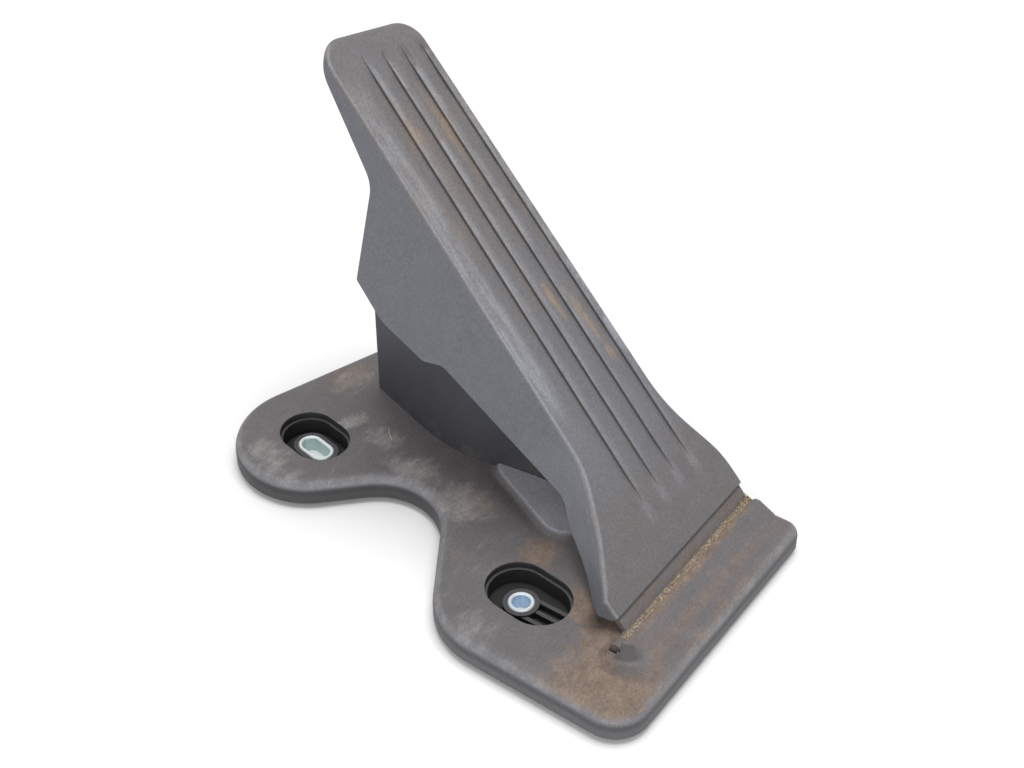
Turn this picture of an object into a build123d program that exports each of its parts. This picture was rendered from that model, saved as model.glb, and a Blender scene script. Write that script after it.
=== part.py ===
import os
from math import acos, atan2, cos, degrees, radians, sin, tan

from build123d import *

os.makedirs("parts", exist_ok=True)

# Floor-hinged accelerator pedal. X runs along the pad's hinge to the driver's right,
# Y runs forward, away from the driver, and Z is up.
# The origin is the front sleeve's axis on the mounting plane.

# Base plate
plate_top = 13.0
plate_skin = 3.0
rim_bottom = 3.0
rim_wall = 2.5
rim_round = 5.0
base_left = -33.5
base_right = 90.9
base_front = -67.2
front_lobe_radius = 32.4
front_left_round = 14.0
front_right_round = 6.0
rear_right_round = 8.0
bite_x = -5.1
bite_y = 65.3
bite_radius = 25.5
rear_lobe_shift_x = 1.2
rear_lobe_shift_y = 2.4
rear_lobe_radius = 31.0
rear_edge_slope = 18.9
rib_wall = 2.0
rib_pitch = 20.9
rib_columns = 5
rib_rows = 10
screw_room = 1.0
foot_radius = 7.0
feet = [(-18.0, -52.0), (78.0, -52.0), (78.0, 110.0)]

# Fixing sleeves and the pockets round them
sleeve_length = 7.0
sleeve_outer = 10.0
sleeve_inner = 7.0
sleeve_edge = 0.4
press_gap = 0.03
slot_x = 20.8
slot_y = 115.8
slot_travel = 6.5
front_pocket_length = 35.0
front_pocket_width = 25.0
front_pocket_x = 0.3
front_pocket_y = -3.2
front_pocket_turn = 84.0
rear_pocket_length = 31.0
rear_pocket_width = 23.0
ledge_drop = 3.0
ledge_width = 1.0
pocket_wall = 2.2
pocket_floor = 3.0
floor_wall = 2.0
collar_wall = 1.85
collar_drop = 0.5
boss_margin = 3.0
finger_wall = 1.7
finger_pitch = 4.8
finger_drop = 1.2

# Pad: distances up its face from the lower edge, and depths behind the face
pad_slope = 48.7
pad_edge_y = -40.2
pad_edge_z = 21.0
pad_skin = 3.0
pad_wall = 2.4
pad_center_x = 51.8
pad_foot_half = 25.4
pad_top_half = 22.3
pad_foot_along = 58.0
pad_length = 224.7
pad_top_slant = 13.0
pad_top_round_left = 9.0
pad_top_round_right = 12.0
pad_edge_round = 1.5
pad_edge_depth = 3.6
pad_draw_angle = 14.0
flare_left = 1.6
flare_right = 89.4
flare_corner_along = 8.6
left_flare = [(5.6, 16.0), (12.3, 25.6), (19.6, 39.0)]
flare_lean = 38.0
right_flare = [(6.8, 32.0), (2.3, 20.0)]
flare_inset_share = 1.3
right_guard_depth = 13.0
pad_travel = 15.0
pad_rib_depth = 5.0
pad_rib_shares = [0.28, 0.42, 0.555, 0.885]
pad_rib_xs = [42.0, 70.0]
guard_edge = [
    (172.9, 14.8),
    (144.9, 52.6),
    (127.0, 53.7),
    (107.0, 45.5),
    (102.5, 37.0),
    (40.0, 18.2),
    (29.0, 21.5),
    (6.0, 12.0),
]
guard_top_along = 218.6
guard_rounds = [20.0, 14.0, 1.5, 12.0, 4.0, 4.0, 10.0, 4.0, 4.0]
right_cut_low = (52.0, 27.0)
right_cut_along = 76.0
cut_reach = 90.0
nick_x = 83.0
nick_along = 32.2
nick_width = 1.6
nick_depth = 0.9

# Grooves of the pad's face
groove_count = 4
groove_first_x = 39.0
groove_last_x = 70.7
groove_top_first_x = 41.3
groove_top_last_x = 67.9
groove_bottom_along = 22.0
groove_top_margin = 10.0
groove_width = 5.5
groove_depth = 0.9
groove_fade = 14.0

# Hinge: a bead on the pad's web turns in a socket of the base
hinge_below = 8.2
hinge_depth = 2.0
bead_radius = 2.6
bead_gap = 0.06
bead_left = -4.8
web_left = 3.2
web_right = 88.0
web_step = 1.2
web_thickness = 2.2
web_overlap = 1.5
ridge_left = 0.5
ridge_end_gap = 1.0
ridge_end_taper = 22.0
ridge_height = 3.4
ridge_top_width = 3.4
ridge_slope_run = 6.5
ridge_foot_round = 4.0
ridge_top_round = 2.0
lip_setback = 1.3
lip_round = 0.5
hinge_bar_drop = 3.0

# Raised ramp under the pad
ramp_height = 2.0
ramp_taper = 45.0
ramp_front = -4.0
ramp_front_left = 22.3
ramp_rear = 48.7
ramp_rear_left = 46.4
ramp_corner_round = 12.0
ramp_edge_round = 1.0
ramp_foot_round = 3.0
seat_gap = 0.1

# Lever housing
housing_right = 70.0
housing_wall = 2.5
housing_front = 8.0
housing_rear = 113.5
housing_front_height = 13.0
housing_mid_y = 62.0
housing_mid_height = 49.0
housing_back_y = 103.0
housing_back_height = 57.0
housing_rear_height = 47.0
left_nose = 50.0
left_wall = [(49.4, 42.0), (46.8, 62.8), (50.8, 86.0)]
left_rear = 59.2
housing_rounds = [0, 0, 5.0, 8.0, 20.0, 6.0]
lever_slot_half = 5.2

# Lever and its shaft
pivot_y = 58.0
pivot_z = 40.0
lever_mid_x = 60.6
lever_thickness = 7.0
hub_radius = 9.0
hub_half_length = 5.6
nose_share = 0.69
nose_depth = 10.0
nose_gap = 0.4
nose_half_length = 5.0
tongue_radius = 2.3
tongue_length = 16.0
shaft_radius = 3.0
shaft_gap = 0.05
bush_wall = 1.5
bush_length = 2.5
washer_radius = 8.0
washer_thickness = 1.0
face_gap = 0.1
washer_gap = 0.3
shaft_edge = 0.4
shoulder_radius = 4.2
heel_radius = 4.0
slider_thickness = 1.2
slider_share = 0.605
slider_length_share = 0.235
slider_width = 16.0
slider_round = 3.0
lever_ratio = 2.14

# Return springs
spring_y = 86.0
outer_wire = 1.5
outer_mean_radius = 5.0
outer_turns = 5.5
inner_wire = 1.0
inner_mean_radius = 2.9
inner_turns = 7.5
cap_radius = 6.2
cap_thickness = 3.0
spring_height = 25.0
spring_slack = 0.2

# Position sensor
sensor_radius = 18.0
sensor_wall = 2.0
sensor_depth = 15.0
ear_radius = 3.6
ear_reach = 21.6
ear_thickness = 3.0
ear_boss_length = 2.8
seal_width = 0.9
seal_height = 0.9
carrier_radius = 8.0
magnet_outer = 7.4
magnet_inner = 4.5
magnet_thickness = 2.0
board_thickness = 1.6
board_side = 22.0
board_round = 2.0
chip_size = (1.8, 5.0, 4.0)
socket_width = 13.0
socket_height = 18.0
socket_reach = 40.0
socket_depth = 18.0
socket_wall = 1.6
pin_side = 0.8
pin_pitch = 4.4
pin_length = 24.0
pin_setback = 5.0

# Fasteners, and the lever's room at the ends of its slot
screw_shank = 3.0
screw_head = 6.0
screw_head_height = 2.4
screw_socket = 2.5
screw_gap = 0.05
post_radius = 3.5
base_screw_length = 11.0
side_screw_length = 10.0
sensor_screw_length = 7.0
stop_gap = 0.3


# Places that follow from the sizes above

slope = radians(pad_slope)
draw = radians(pad_draw_angle)


def pad_point(along, depth):
    # Y and Z of a point up the pad's face and behind it
    y = pad_edge_y + along * cos(slope) + depth * sin(slope)
    z = pad_edge_z + along * sin(slope) - depth * cos(slope)
    return (y, z)


hinge_y, hinge_z = pad_point(-hinge_below, hinge_depth)
nose_y, nose_z = pad_point(nose_share * pad_length, nose_depth)
slider_along = slider_share * pad_length
slider_length = slider_length_share * pad_length
pad_rib_alongs = [share * pad_length for share in pad_rib_shares]
nose_radius = nose_depth - pad_skin - slider_thickness - nose_gap
pad_face = Plane(
    origin=(0, pad_edge_y, pad_edge_z), x_dir=(1, 0, 0), z_dir=(0, -sin(slope), cos(slope))
)
draw_direction = (0, sin(draw), -cos(draw))
pad_back = Plane(
    origin=pad_face.origin + Vector(draw_direction) * (pad_skin / cos(slope - draw)),
    x_dir=(1, 0, 0),
    z_dir=pad_face.z_dir,
)
skin_under = plate_top - plate_skin
slot_center = Vector(slot_x, slot_y)
slot_turn = degrees(atan2(slot_y, slot_x))
bite_center = Vector(bite_x, bite_y)
rear_lobe_center = slot_center + Vector(rear_lobe_shift_x, rear_lobe_shift_y)
front_pocket_center = Vector(front_pocket_x, front_pocket_y)
housing_floor = plate_top + housing_wall
cover_inner = housing_right - housing_wall
spring_top = housing_floor + spring_height
heel_z = spring_top + cap_thickness
hub_left = lever_mid_x - hub_half_length
hub_right = lever_mid_x + hub_half_length
left_washer_x = hub_left - face_gap - washer_thickness
right_washer_x = hub_right + face_gap
bush_outer = shaft_radius + shaft_gap + bush_wall
left_boss_x = left_washer_x - face_gap
shaft_left = left_boss_x - bush_length + face_gap
carrier_x = housing_right + 0.6
magnet_x = carrier_x + 3.4
board_x = housing_right + sensor_depth - sensor_wall - 4.0
shaft_right = magnet_x
base_screw_spots = [(58.5, 15.0), (54.6, 71.5), (63.0, 105.5)]
side_screw_spots = [(24.0, 28.0), (97.5, 22.0), (106.0, 54.0)]
ear_angles = [45.0, 200.0, 300.0]
ear_spots = [
    (pivot_y + ear_reach * cos(radians(a)), pivot_z + ear_reach * sin(radians(a)))
    for a in ear_angles
]


def inner_tangent(a, radius_a, b, radius_b, side):
    # Turn and ends of the straight that leaves circle a and meets circle b on its other side
    reach = b - a
    turn = atan2(reach.Y, reach.X) + side * acos((radius_a + radius_b) / reach.length)
    way = Vector(cos(turn), sin(turn))
    return degrees(turn), a + way * radius_a, b - way * radius_b


# The lever's arm, and the ends of the slot that stop it

arm_way = Vector(nose_y - pivot_y, nose_z - pivot_z).normalized()
shoulder = Vector(nose_y, nose_z) - arm_way * tongue_length
arm_root = hub_radius - 1
arm_length = (shoulder - Vector(pivot_y, pivot_z)).length


def arm_face_y(turn, z, side):
    # Y where the arm's front or rear face crosses a height, with the lever turned by some degrees
    way = atan2(arm_way.Y, arm_way.X) - radians(turn)
    reach = (z - pivot_z) / sin(way)
    half = arm_root - (arm_root - shoulder_radius) * reach / arm_length
    return pivot_y + reach * cos(way) + side * half / sin(way)


roof_slope = (housing_back_height - housing_mid_height) / (housing_back_y - housing_mid_y)
roof_z = plate_top + housing_mid_height + (spring_y + heel_radius - housing_mid_y) * roof_slope
slot_front_y = arm_face_y(0, pivot_z + hub_radius, -1) - stop_gap
slot_rear_y = arm_face_y(pad_travel * lever_ratio, roof_z, 1) + stop_gap

# Outlines of the lever housing, from the side and from above

housing_points = [
    (housing_front, plate_top),
    (housing_rear, plate_top),
    (housing_rear, plate_top + housing_rear_height),
    (housing_back_y, plate_top + housing_back_height),
    (housing_mid_y, plate_top + housing_mid_height),
    (housing_front, plate_top + housing_front_height),
]

with BuildSketch(Plane.YZ) as housing_profile:
    with BuildLine():
        FilletPolyline(*housing_points, radius=housing_rounds, close=True)
    make_face()

with BuildSketch() as housing_plan:
    with BuildLine():
        Spline((left_nose, housing_front), *left_wall, (left_rear, housing_rear))
        Line((left_rear, housing_rear), (cover_inner, housing_rear))
        Line((cover_inner, housing_rear), (cover_inner, housing_front))
        Line((cover_inner, housing_front), (left_nose, housing_front))
    make_face()


# Base plate

left_turn, lobe_meet, left_corner = inner_tangent(
    Vector(0, 0), front_lobe_radius, Vector(base_left, base_front), 0, -1
)
front_turn, front_leave, bite_meet = inner_tangent(
    Vector(0, 0), front_lobe_radius, bite_center, bite_radius, 1
)
rear_turn, bite_leave, rear_meet = inner_tangent(
    bite_center, bite_radius, rear_lobe_center, rear_lobe_radius, -1
)
rear_edge_turn = 90 - rear_edge_slope
rear_edge_start = rear_lobe_center + Vector(rear_lobe_radius, 0).rotate(Axis.Z, rear_edge_turn)
rear_corner_y = rear_edge_start.Y - (base_right - rear_edge_start.X) * tan(radians(rear_edge_slope))

with BuildSketch(Plane.XY.offset(rim_bottom)) as base_outline:
    with BuildLine():
        Line(left_corner, lobe_meet)
        CenterArc((0, 0), front_lobe_radius, left_turn + 360, front_turn - left_turn - 360)
        Line(front_leave, bite_meet)
        CenterArc(bite_center, bite_radius, front_turn - 180, rear_turn - front_turn + 180)
        Line(bite_leave, rear_meet)
        CenterArc(
            rear_lobe_center, rear_lobe_radius, rear_turn + 180, rear_edge_turn - rear_turn - 180
        )
        Line(rear_edge_start, (base_right, rear_corner_y))
        Line((base_right, rear_corner_y), (base_right, base_front))
        Line((base_right, base_front), left_corner)
    make_face()
    fillet(base_outline.vertices().sort_by_distance(left_corner)[0], front_left_round)
    right_corner = (base_right, base_front)
    fillet(base_outline.vertices().sort_by_distance(right_corner)[0], front_right_round)
    rear_corner = (base_right, rear_corner_y)
    fillet(base_outline.vertices().sort_by_distance(rear_corner)[0], rear_right_round)

# The underside ribs end inside the rim's wall
with BuildSketch() as rib_reach:
    add(base_outline.sketch)
    offset(amount=-rim_wall / 2, mode=Mode.REPLACE)

ramp_corners = [
    (ramp_rear_left, ramp_rear),
    (ramp_front_left, ramp_front),
    (housing_right, ramp_front),
    (housing_right, ramp_rear),
]
ridge_top = plate_top + ridge_height
ridge_lip_y = hinge_y - lip_setback
ridge_front_y = ridge_lip_y - ridge_top_width
ridge_foot_y = ridge_front_y - ridge_slope_run
ridge_root = plate_top - plate_skin
ridge_profile = [
    (ridge_foot_y - ridge_foot_round, ridge_root),
    (ridge_foot_y - ridge_foot_round, plate_top),
    (ridge_foot_y, plate_top),
    (ridge_front_y, ridge_top),
    (ridge_lip_y, ridge_top),
    (hinge_y, hinge_z),
    (hinge_y, ridge_root),
]
ridge_rounds = [0, 0, ridge_foot_round, ridge_top_round, lip_round, 0, 0]
ridge_end_profile = ridge_profile[:5] + [(ridge_lip_y, ridge_root)]
ridge_end_rounds = [0, 0, ridge_foot_round, ridge_top_round, 0, 0]

with BuildPart() as base_plate:
    add(base_outline.sketch)
    extrude(amount=plate_top - rim_bottom)
    fillet(base_plate.faces().sort_by(Axis.Z)[-1].edges(), rim_round)
    # Low ramp under the pad
    with BuildSketch(Plane.XY.offset(plate_top)) as ramp_outline:
        with BuildLine():
            FilletPolyline(*ramp_corners, radius=ramp_corner_round, close=True)
        make_face()
    extrude(amount=ramp_height, taper=ramp_taper)
    ramp_top = base_plate.faces().sort_by(Axis.Z)[-1]
    fillet(ramp_top.edges(), ramp_edge_round)
    ramp_foot = base_plate.faces().filter_by(Plane.XY).filter_by_position(
        Axis.Z, plate_top - rim_bottom / 2, plate_top + ramp_height / 2
    )[0]
    fillet(ramp_foot.inner_wires()[0].edges(), ramp_foot_round)
    with BuildSketch(Plane.XY.offset(plate_top)) as housing_seat:
        with Locations((-seat_gap, -seat_gap), (-seat_gap, seat_gap)):
            add(housing_plan.sketch_local)
        with Locations((cover_inner, (housing_front + housing_rear) / 2)):
            Rectangle(2 * (housing_wall + seat_gap), housing_rear - housing_front + 2 * seat_gap)
    extrude(amount=ramp_height, mode=Mode.SUBTRACT)
    # Ridge that holds the hinge
    with BuildSketch(Plane.YZ.offset(ridge_left)) as ridge:
        with BuildLine():
            FilletPolyline(*ridge_profile, radius=ridge_rounds, close=True)
        make_face()
    extrude(amount=base_right - rim_round - ridge_left)
    # Its right end falls away with the rim
    with BuildSketch(Plane.YZ.offset(base_right - rim_round)) as ridge_fall:
        with BuildLine():
            FilletPolyline(*ridge_profile, radius=ridge_rounds, close=True)
        make_face()
    extrude(amount=rim_round - ridge_end_gap, taper=ridge_end_taper)
    # Its left end curves round to the rear
    with BuildSketch(Plane.YZ.offset(ridge_left)) as ridge_end:
        with BuildLine():
            FilletPolyline(*ridge_end_profile, radius=ridge_end_rounds, close=True)
        make_face()
    revolve(axis=Axis((ridge_left, ridge_lip_y, 0), (0, 0, -1)), revolution_arc=90)
    # Hollow underside with its ribs
    with BuildSketch(Plane.XY.offset(rim_bottom)) as hollow:
        add(base_outline.sketch_local)
        offset(amount=-rim_wall, mode=Mode.REPLACE)
    extrude(amount=skin_under - rim_bottom, mode=Mode.SUBTRACT)
    with BuildSketch(Plane.XY.offset(rim_bottom)) as ribs:
        for i in range(1, rib_columns + 1):
            with Locations((base_right - i * rib_pitch, slot_y / 2)):
                Rectangle(rib_wall, 2 * (slot_y - base_front))
        for i in range(1, rib_rows + 1):
            with Locations((0, base_front + i * rib_pitch)):
                Rectangle(2 * (base_right - base_left), rib_wall)
        add(rib_reach.sketch_local, mode=Mode.INTERSECT)
        with Locations(*base_screw_spots):
            Circle(screw_head / 2 + screw_room, mode=Mode.SUBTRACT)
    extrude(amount=skin_under - rim_bottom)
    with BuildSketch(Plane.XY.offset(skin_under - hinge_bar_drop)) as hinge_bar:
        with Locations(((bead_left + base_right - rim_wall) / 2, hinge_y)):
            Rectangle(base_right - rim_wall - bead_left + 2, 4 * bead_radius)
    extrude(amount=hinge_bar_drop)
    with BuildSketch() as foot_spots:
        with Locations(*feet):
            Circle(foot_radius)
    extrude(amount=skin_under)
    # Pocket cups
    with BuildSketch(Plane.XY.offset(pocket_floor - floor_wall)) as cups:
        with Locations(front_pocket_center):
            SlotOverall(
                front_pocket_length + 2 * pocket_wall,
                front_pocket_width + 2 * pocket_wall,
                rotation=front_pocket_turn,
            )
        with Locations(slot_center):
            SlotOverall(
                rear_pocket_length + 2 * pocket_wall,
                rear_pocket_width + 2 * pocket_wall,
                rotation=slot_turn,
            )
    extrude(amount=skin_under - pocket_floor + floor_wall)
    with BuildSketch(Plane.XY.offset(plate_top - ledge_drop)) as mouths:
        with Locations(front_pocket_center):
            SlotOverall(front_pocket_length, front_pocket_width, rotation=front_pocket_turn)
        with Locations(slot_center):
            SlotOverall(rear_pocket_length, rear_pocket_width, rotation=slot_turn)
    extrude(amount=ledge_drop, mode=Mode.SUBTRACT)
    with BuildSketch(Plane.XY.offset(pocket_floor)) as wells:
        with Locations(front_pocket_center):
            SlotOverall(
                front_pocket_length - 2 * ledge_width,
                front_pocket_width - 2 * ledge_width,
                rotation=front_pocket_turn,
            )
        with Locations(slot_center):
            SlotOverall(
                rear_pocket_length - 2 * ledge_width,
                rear_pocket_width - 2 * ledge_width,
                rotation=slot_turn,
            )
    extrude(amount=plate_top - ledge_drop - pocket_floor, mode=Mode.SUBTRACT)
    # Collars round the sleeves, and the fingers that brace the front one
    with BuildSketch() as bosses:
        Circle(sleeve_outer / 2 + collar_wall + boss_margin)
        with Locations(slot_center):
            SlotCenterToCenter(
                slot_travel, sleeve_outer + 2 * (collar_wall + boss_margin), rotation=slot_turn
            )
    extrude(amount=pocket_floor)
    with BuildSketch() as collars:
        Circle(sleeve_outer / 2 + collar_wall)
        with Locations(slot_center):
            SlotCenterToCenter(slot_travel, sleeve_outer + 2 * collar_wall, rotation=slot_turn)
    extrude(amount=sleeve_length - collar_drop)
    finger_length = front_pocket_length / 2 - front_pocket_center.Y - ledge_width
    with BuildSketch(Plane.XY.offset(pocket_floor)) as fingers:
        with Locations((0, -finger_length / 2)):
            with GridLocations(finger_pitch, 1, 3, 1):
                Rectangle(finger_wall, finger_length)
        with Locations(front_pocket_center):
            SlotOverall(
                front_pocket_length, front_pocket_width, rotation=front_pocket_turn, mode=Mode.INTERSECT
            )
    extrude(amount=sleeve_length - finger_drop - pocket_floor)
    with BuildSketch() as sleeve_holes:
        Circle(sleeve_outer / 2 + press_gap)
        with Locations(slot_center):
            SlotCenterToCenter(slot_travel, sleeve_outer + 2 * press_gap, rotation=slot_turn)
    extrude(amount=plate_top, mode=Mode.SUBTRACT)
    # Socket of the hinge bead
    with BuildSketch(Plane.YZ.offset(bead_left - 1)) as socket:
        with Locations((hinge_y, hinge_z)):
            Circle(bead_radius + bead_gap)
    extrude(amount=base_right - bead_left + 2, mode=Mode.SUBTRACT)
    # Screw holes to the housing
    with BuildSketch(Plane.XY) as base_holes:
        with Locations(*base_screw_spots):
            Circle(screw_shank / 2 + screw_gap)
    extrude(amount=plate_top + ramp_height, mode=Mode.SUBTRACT)
base_plate.part.label = "base_plate"
export_step(base_plate.part, "parts/base_plate.step")

with BuildPart() as front_sleeve:
    with BuildSketch():
        Circle(sleeve_outer / 2)
        Circle(sleeve_inner / 2, mode=Mode.SUBTRACT)
    extrude(amount=sleeve_length)
    chamfer(front_sleeve.edges().group_by(Axis.Z)[-1], sleeve_edge)
front_sleeve.part.label = "front_sleeve"
export_step(front_sleeve.part, "parts/front_sleeve.step")

with BuildPart() as rear_sleeve:
    with BuildSketch():
        with Locations(slot_center):
            SlotCenterToCenter(slot_travel, sleeve_outer, rotation=slot_turn)
            SlotCenterToCenter(slot_travel, sleeve_inner, rotation=slot_turn, mode=Mode.SUBTRACT)
    extrude(amount=sleeve_length)
    chamfer(rear_sleeve.edges().group_by(Axis.Z)[-1], sleeve_edge)
rear_sleeve.part.label = "rear_sleeve"
export_step(rear_sleeve.part, "parts/rear_sleeve.step")


# Pad

pad_left_foot = pad_center_x - pad_foot_half
pad_right_foot = pad_center_x + pad_foot_half
pad_left_top = pad_center_x - pad_top_half
pad_right_top = pad_center_x + pad_top_half
slant_drop = (pad_right_top - pad_left_top) * tan(radians(pad_top_slant))
left_rise = (pad_left_top - pad_left_foot, pad_length - pad_foot_along)
right_rise = (pad_right_foot - pad_right_top, -(pad_length - slant_drop - pad_foot_along))


def pad_border(plane, inset):
    # Outline of the pad's face, drawn in from its edges
    left = pad_left_top + inset
    right = pad_right_top - inset
    top = pad_length - inset
    slant = slant_drop * (right - left) / (pad_right_top - pad_left_top)
    flare = inset * flare_inset_share
    with BuildSketch(plane, mode=Mode.PRIVATE) as border:
        with BuildLine():
            Line((flare_left + inset, inset), (flare_left + inset, flare_corner_along))
            Spline(
                (flare_left + inset, flare_corner_along),
                *[(flare_left + x + flare, along) for x, along in left_flare],
                (pad_left_foot + inset, pad_foot_along),
                tangents=[(sin(radians(flare_lean)), cos(radians(flare_lean))), left_rise],
            )
            Line((pad_left_foot + inset, pad_foot_along), (left, top))
            Line((left, top), (right, top - slant))
            Line((right, top - slant), (pad_right_foot - inset, pad_foot_along))
            Spline(
                (pad_right_foot - inset, pad_foot_along),
                *[(flare_right - x - flare, along) for x, along in right_flare],
                (flare_right - inset, inset),
                tangents=[right_rise, (0, -1)],
            )
            Line((flare_right - inset, inset), (flare_left + inset, inset))
        make_face()
        left_corner = border.vertices().sort_by_distance((left, top))[0]
        fillet(left_corner, pad_top_round_left - inset)
        right_corner = border.vertices().sort_by_distance((right, top - slant))[0]
        fillet(right_corner, pad_top_round_right - inset)
    return border


pad_outline = pad_border(pad_face, 0)
pad_hollow = pad_border(pad_back, pad_wall)

# Rear edge of the guards, as distances up the face and depths behind it
guard_end = pad_length + cut_reach
guard_points = [
    (0, 0),
    (guard_end, 0),
    (guard_end, pad_edge_depth),
    (guard_top_along, pad_edge_depth),
    *guard_edge,
    (0, pad_skin),
]
right_cut_points = [
    (right_cut_low[0], cut_reach),
    right_cut_low,
    (right_cut_along, right_guard_depth),
    (guard_end, right_guard_depth),
    (guard_end, cut_reach),
]
web_points = [
    (-hinge_below, web_step),
    (web_overlap, web_step),
    (web_overlap, web_step + web_thickness),
    (-hinge_below, web_step + web_thickness),
]

with BuildPart() as pedal_pad:
    with BuildSketch(Plane.YZ) as guard_profile:
        with BuildLine():
            FilletPolyline(
                *[pad_point(*p) for p in guard_points], radius=[0, 0, 0, *guard_rounds, 0], close=True
            )
        make_face()
    extrude(amount=base_right)
    extrude(pad_outline.sketch, amount=guard_end, dir=draw_direction, mode=Mode.INTERSECT)
    face_edges = pedal_pad.faces().sort_by(Axis(pad_face.origin, pad_face.z_dir))[-1].edges()
    fillet(face_edges.filter_by(lambda e: e.center().Z > pad_edge_z + pad_edge_round), pad_edge_round)
    # Hollow back
    extrude(pad_hollow.sketch, amount=guard_end, dir=draw_direction, mode=Mode.SUBTRACT)
    # The guard is shallow on the sensor's side
    with BuildSketch(Plane.YZ.offset(housing_right)) as right_cut:
        with BuildLine():
            Polyline(*[pad_point(*p) for p in right_cut_points], close=True)
        make_face()
    extrude(amount=base_right, mode=Mode.SUBTRACT)
    # Stiffening ribs on the back of the face
    with BuildSketch(pad_face.offset(-pad_skin - pad_rib_depth)) as pad_ribs:
        with Locations(*[(pad_center_x, a) for a in pad_rib_alongs]):
            Rectangle(2 * pad_top_half - pad_wall, rib_wall)
        for rib_x in pad_rib_xs:
            with Locations((rib_x, (pad_rib_alongs[0] + pad_rib_alongs[-1]) / 2)):
                Rectangle(rib_wall, pad_rib_alongs[-1] - pad_rib_alongs[0])
    extrude(amount=pad_rib_depth)
    # Small nick in the right edge
    with BuildSketch(pad_face, mode=Mode.PRIVATE) as nick:
        with Locations((nick_x, nick_along)):
            Rectangle(2 * nick_depth, nick_width)
    extrude(nick.sketch, amount=pad_skin + pad_edge_depth, dir=draw_direction, mode=Mode.SUBTRACT)
    # Grooves: each slopes in from its left to a step at its right, and fades out at its ends
    for i in range(groove_count):
        share = i / (groove_count - 1)
        low_x = groove_first_x + share * (groove_last_x - groove_first_x)
        high_x = groove_top_first_x + share * (groove_top_last_x - groove_top_first_x)
        edge_along = pad_length - (high_x - pad_left_top) * tan(radians(pad_top_slant))
        low = pad_face.from_local_coords((low_x, groove_bottom_along, 0))
        high = pad_face.from_local_coords((high_x, edge_along - groove_top_margin, 0))
        run = (high - low).length
        low_end = Plane(origin=low, x_dir=(1, 0, 0), z_dir=high - low)
        sections = []
        for start in (groove_fade, run - groove_fade):
            with BuildSketch(low_end.offset(start), mode=Mode.PRIVATE) as groove:
                with BuildLine():
                    Polyline(
                        (-groove_width / 2, 0),
                        (-groove_width / 2, -1),
                        (groove_width / 2, -1),
                        (groove_width / 2, groove_depth),
                        close=True,
                    )
                make_face()
            sections.append(groove.sketch.face())
        tips = [Vertex(low_end.from_local_coords((groove_width / 2, 0, end))) for end in (0, run)]
        loft([tips[0], *sections, tips[1]], ruled=True, mode=Mode.SUBTRACT)
    # Hinge web and its bead
    with BuildSketch(Plane.YZ.offset(web_left)) as web:
        with BuildLine():
            Polyline(*[pad_point(*p) for p in web_points], close=True)
        make_face()
    extrude(amount=web_right - web_left)
    with BuildSketch(Plane.YZ.offset(bead_left)) as bead:
        with Locations((hinge_y, hinge_z)):
            Circle(bead_radius)
    extrude(amount=web_right - bead_left)
pedal_pad.part.label = "pedal_pad"
export_step(pedal_pad.part, "parts/pedal_pad.step")

with BuildPart() as slider_plate:
    with BuildSketch(pad_face.offset(-pad_skin - slider_thickness)) as slider:
        with Locations((lever_mid_x, slider_along + slider_length / 2)):
            RectangleRounded(slider_width, slider_length, slider_round)
    extrude(amount=slider_thickness)
slider_plate.part.label = "slider_plate"
export_step(slider_plate.part, "parts/slider_plate.step")


# Lever housing

with BuildPart() as housing_block:
    extrude(housing_profile.sketch, amount=cover_inner, dir=(1, 0, 0))
    extrude(housing_plan.sketch, amount=2 * housing_rear, dir=(0, 0, 1), mode=Mode.INTERSECT)

with BuildPart() as housing_core:
    with BuildSketch(Plane.YZ):
        add(housing_profile.sketch_local)
        offset(amount=-housing_wall, mode=Mode.REPLACE)
    extrude(amount=housing_right)
    with BuildSketch(Plane.XY):
        with Locations((housing_wall, 0)):
            add(housing_plan.sketch_local)
    extrude(amount=2 * housing_rear, mode=Mode.INTERSECT)

with BuildPart() as housing_posts:
    with BuildSketch(Plane.YZ):
        with Locations(*side_screw_spots):
            Circle(post_radius)
    extrude(amount=cover_inner)
    with BuildSketch(Plane.YZ):
        with Locations((pivot_y, pivot_z)):
            Circle(bush_outer + bush_wall)
    extrude(amount=left_boss_x)
    with BuildSketch(Plane.XY.offset(plate_top)):
        with Locations(*base_screw_spots):
            Circle(post_radius)
    extrude(amount=base_screw_length - plate_skin + 1)
    add(housing_block.part, mode=Mode.INTERSECT)

with BuildPart() as lever_housing:
    add(housing_block.part)
    add(housing_core.part, mode=Mode.SUBTRACT)
    add(housing_posts.part)
    # Slot for the lever in the roof
    with BuildSketch(Plane.XY.offset(pivot_z)):
        with Locations((lever_mid_x, (slot_front_y + slot_rear_y) / 2)):
            Rectangle(2 * lever_slot_half, slot_rear_y - slot_front_y)
    extrude(amount=housing_rear, mode=Mode.SUBTRACT)
    with BuildSketch(Plane.YZ.offset(left_boss_x)):
        with Locations((pivot_y, pivot_z)):
            Circle(bush_outer + press_gap)
    extrude(amount=-bush_length, mode=Mode.SUBTRACT)
    with BuildSketch(Plane.YZ.offset(cover_inner)):
        with Locations(*side_screw_spots):
            Circle(screw_shank / 2 + screw_gap)
    extrude(amount=-side_screw_length, mode=Mode.SUBTRACT)
    with BuildSketch(Plane.XY.offset(plate_top)):
        with Locations(*base_screw_spots):
            Circle(screw_shank / 2 + screw_gap)
    extrude(amount=base_screw_length - plate_skin + screw_gap, mode=Mode.SUBTRACT)
lever_housing.part.label = "lever_housing"
export_step(lever_housing.part, "parts/lever_housing.step")

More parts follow.
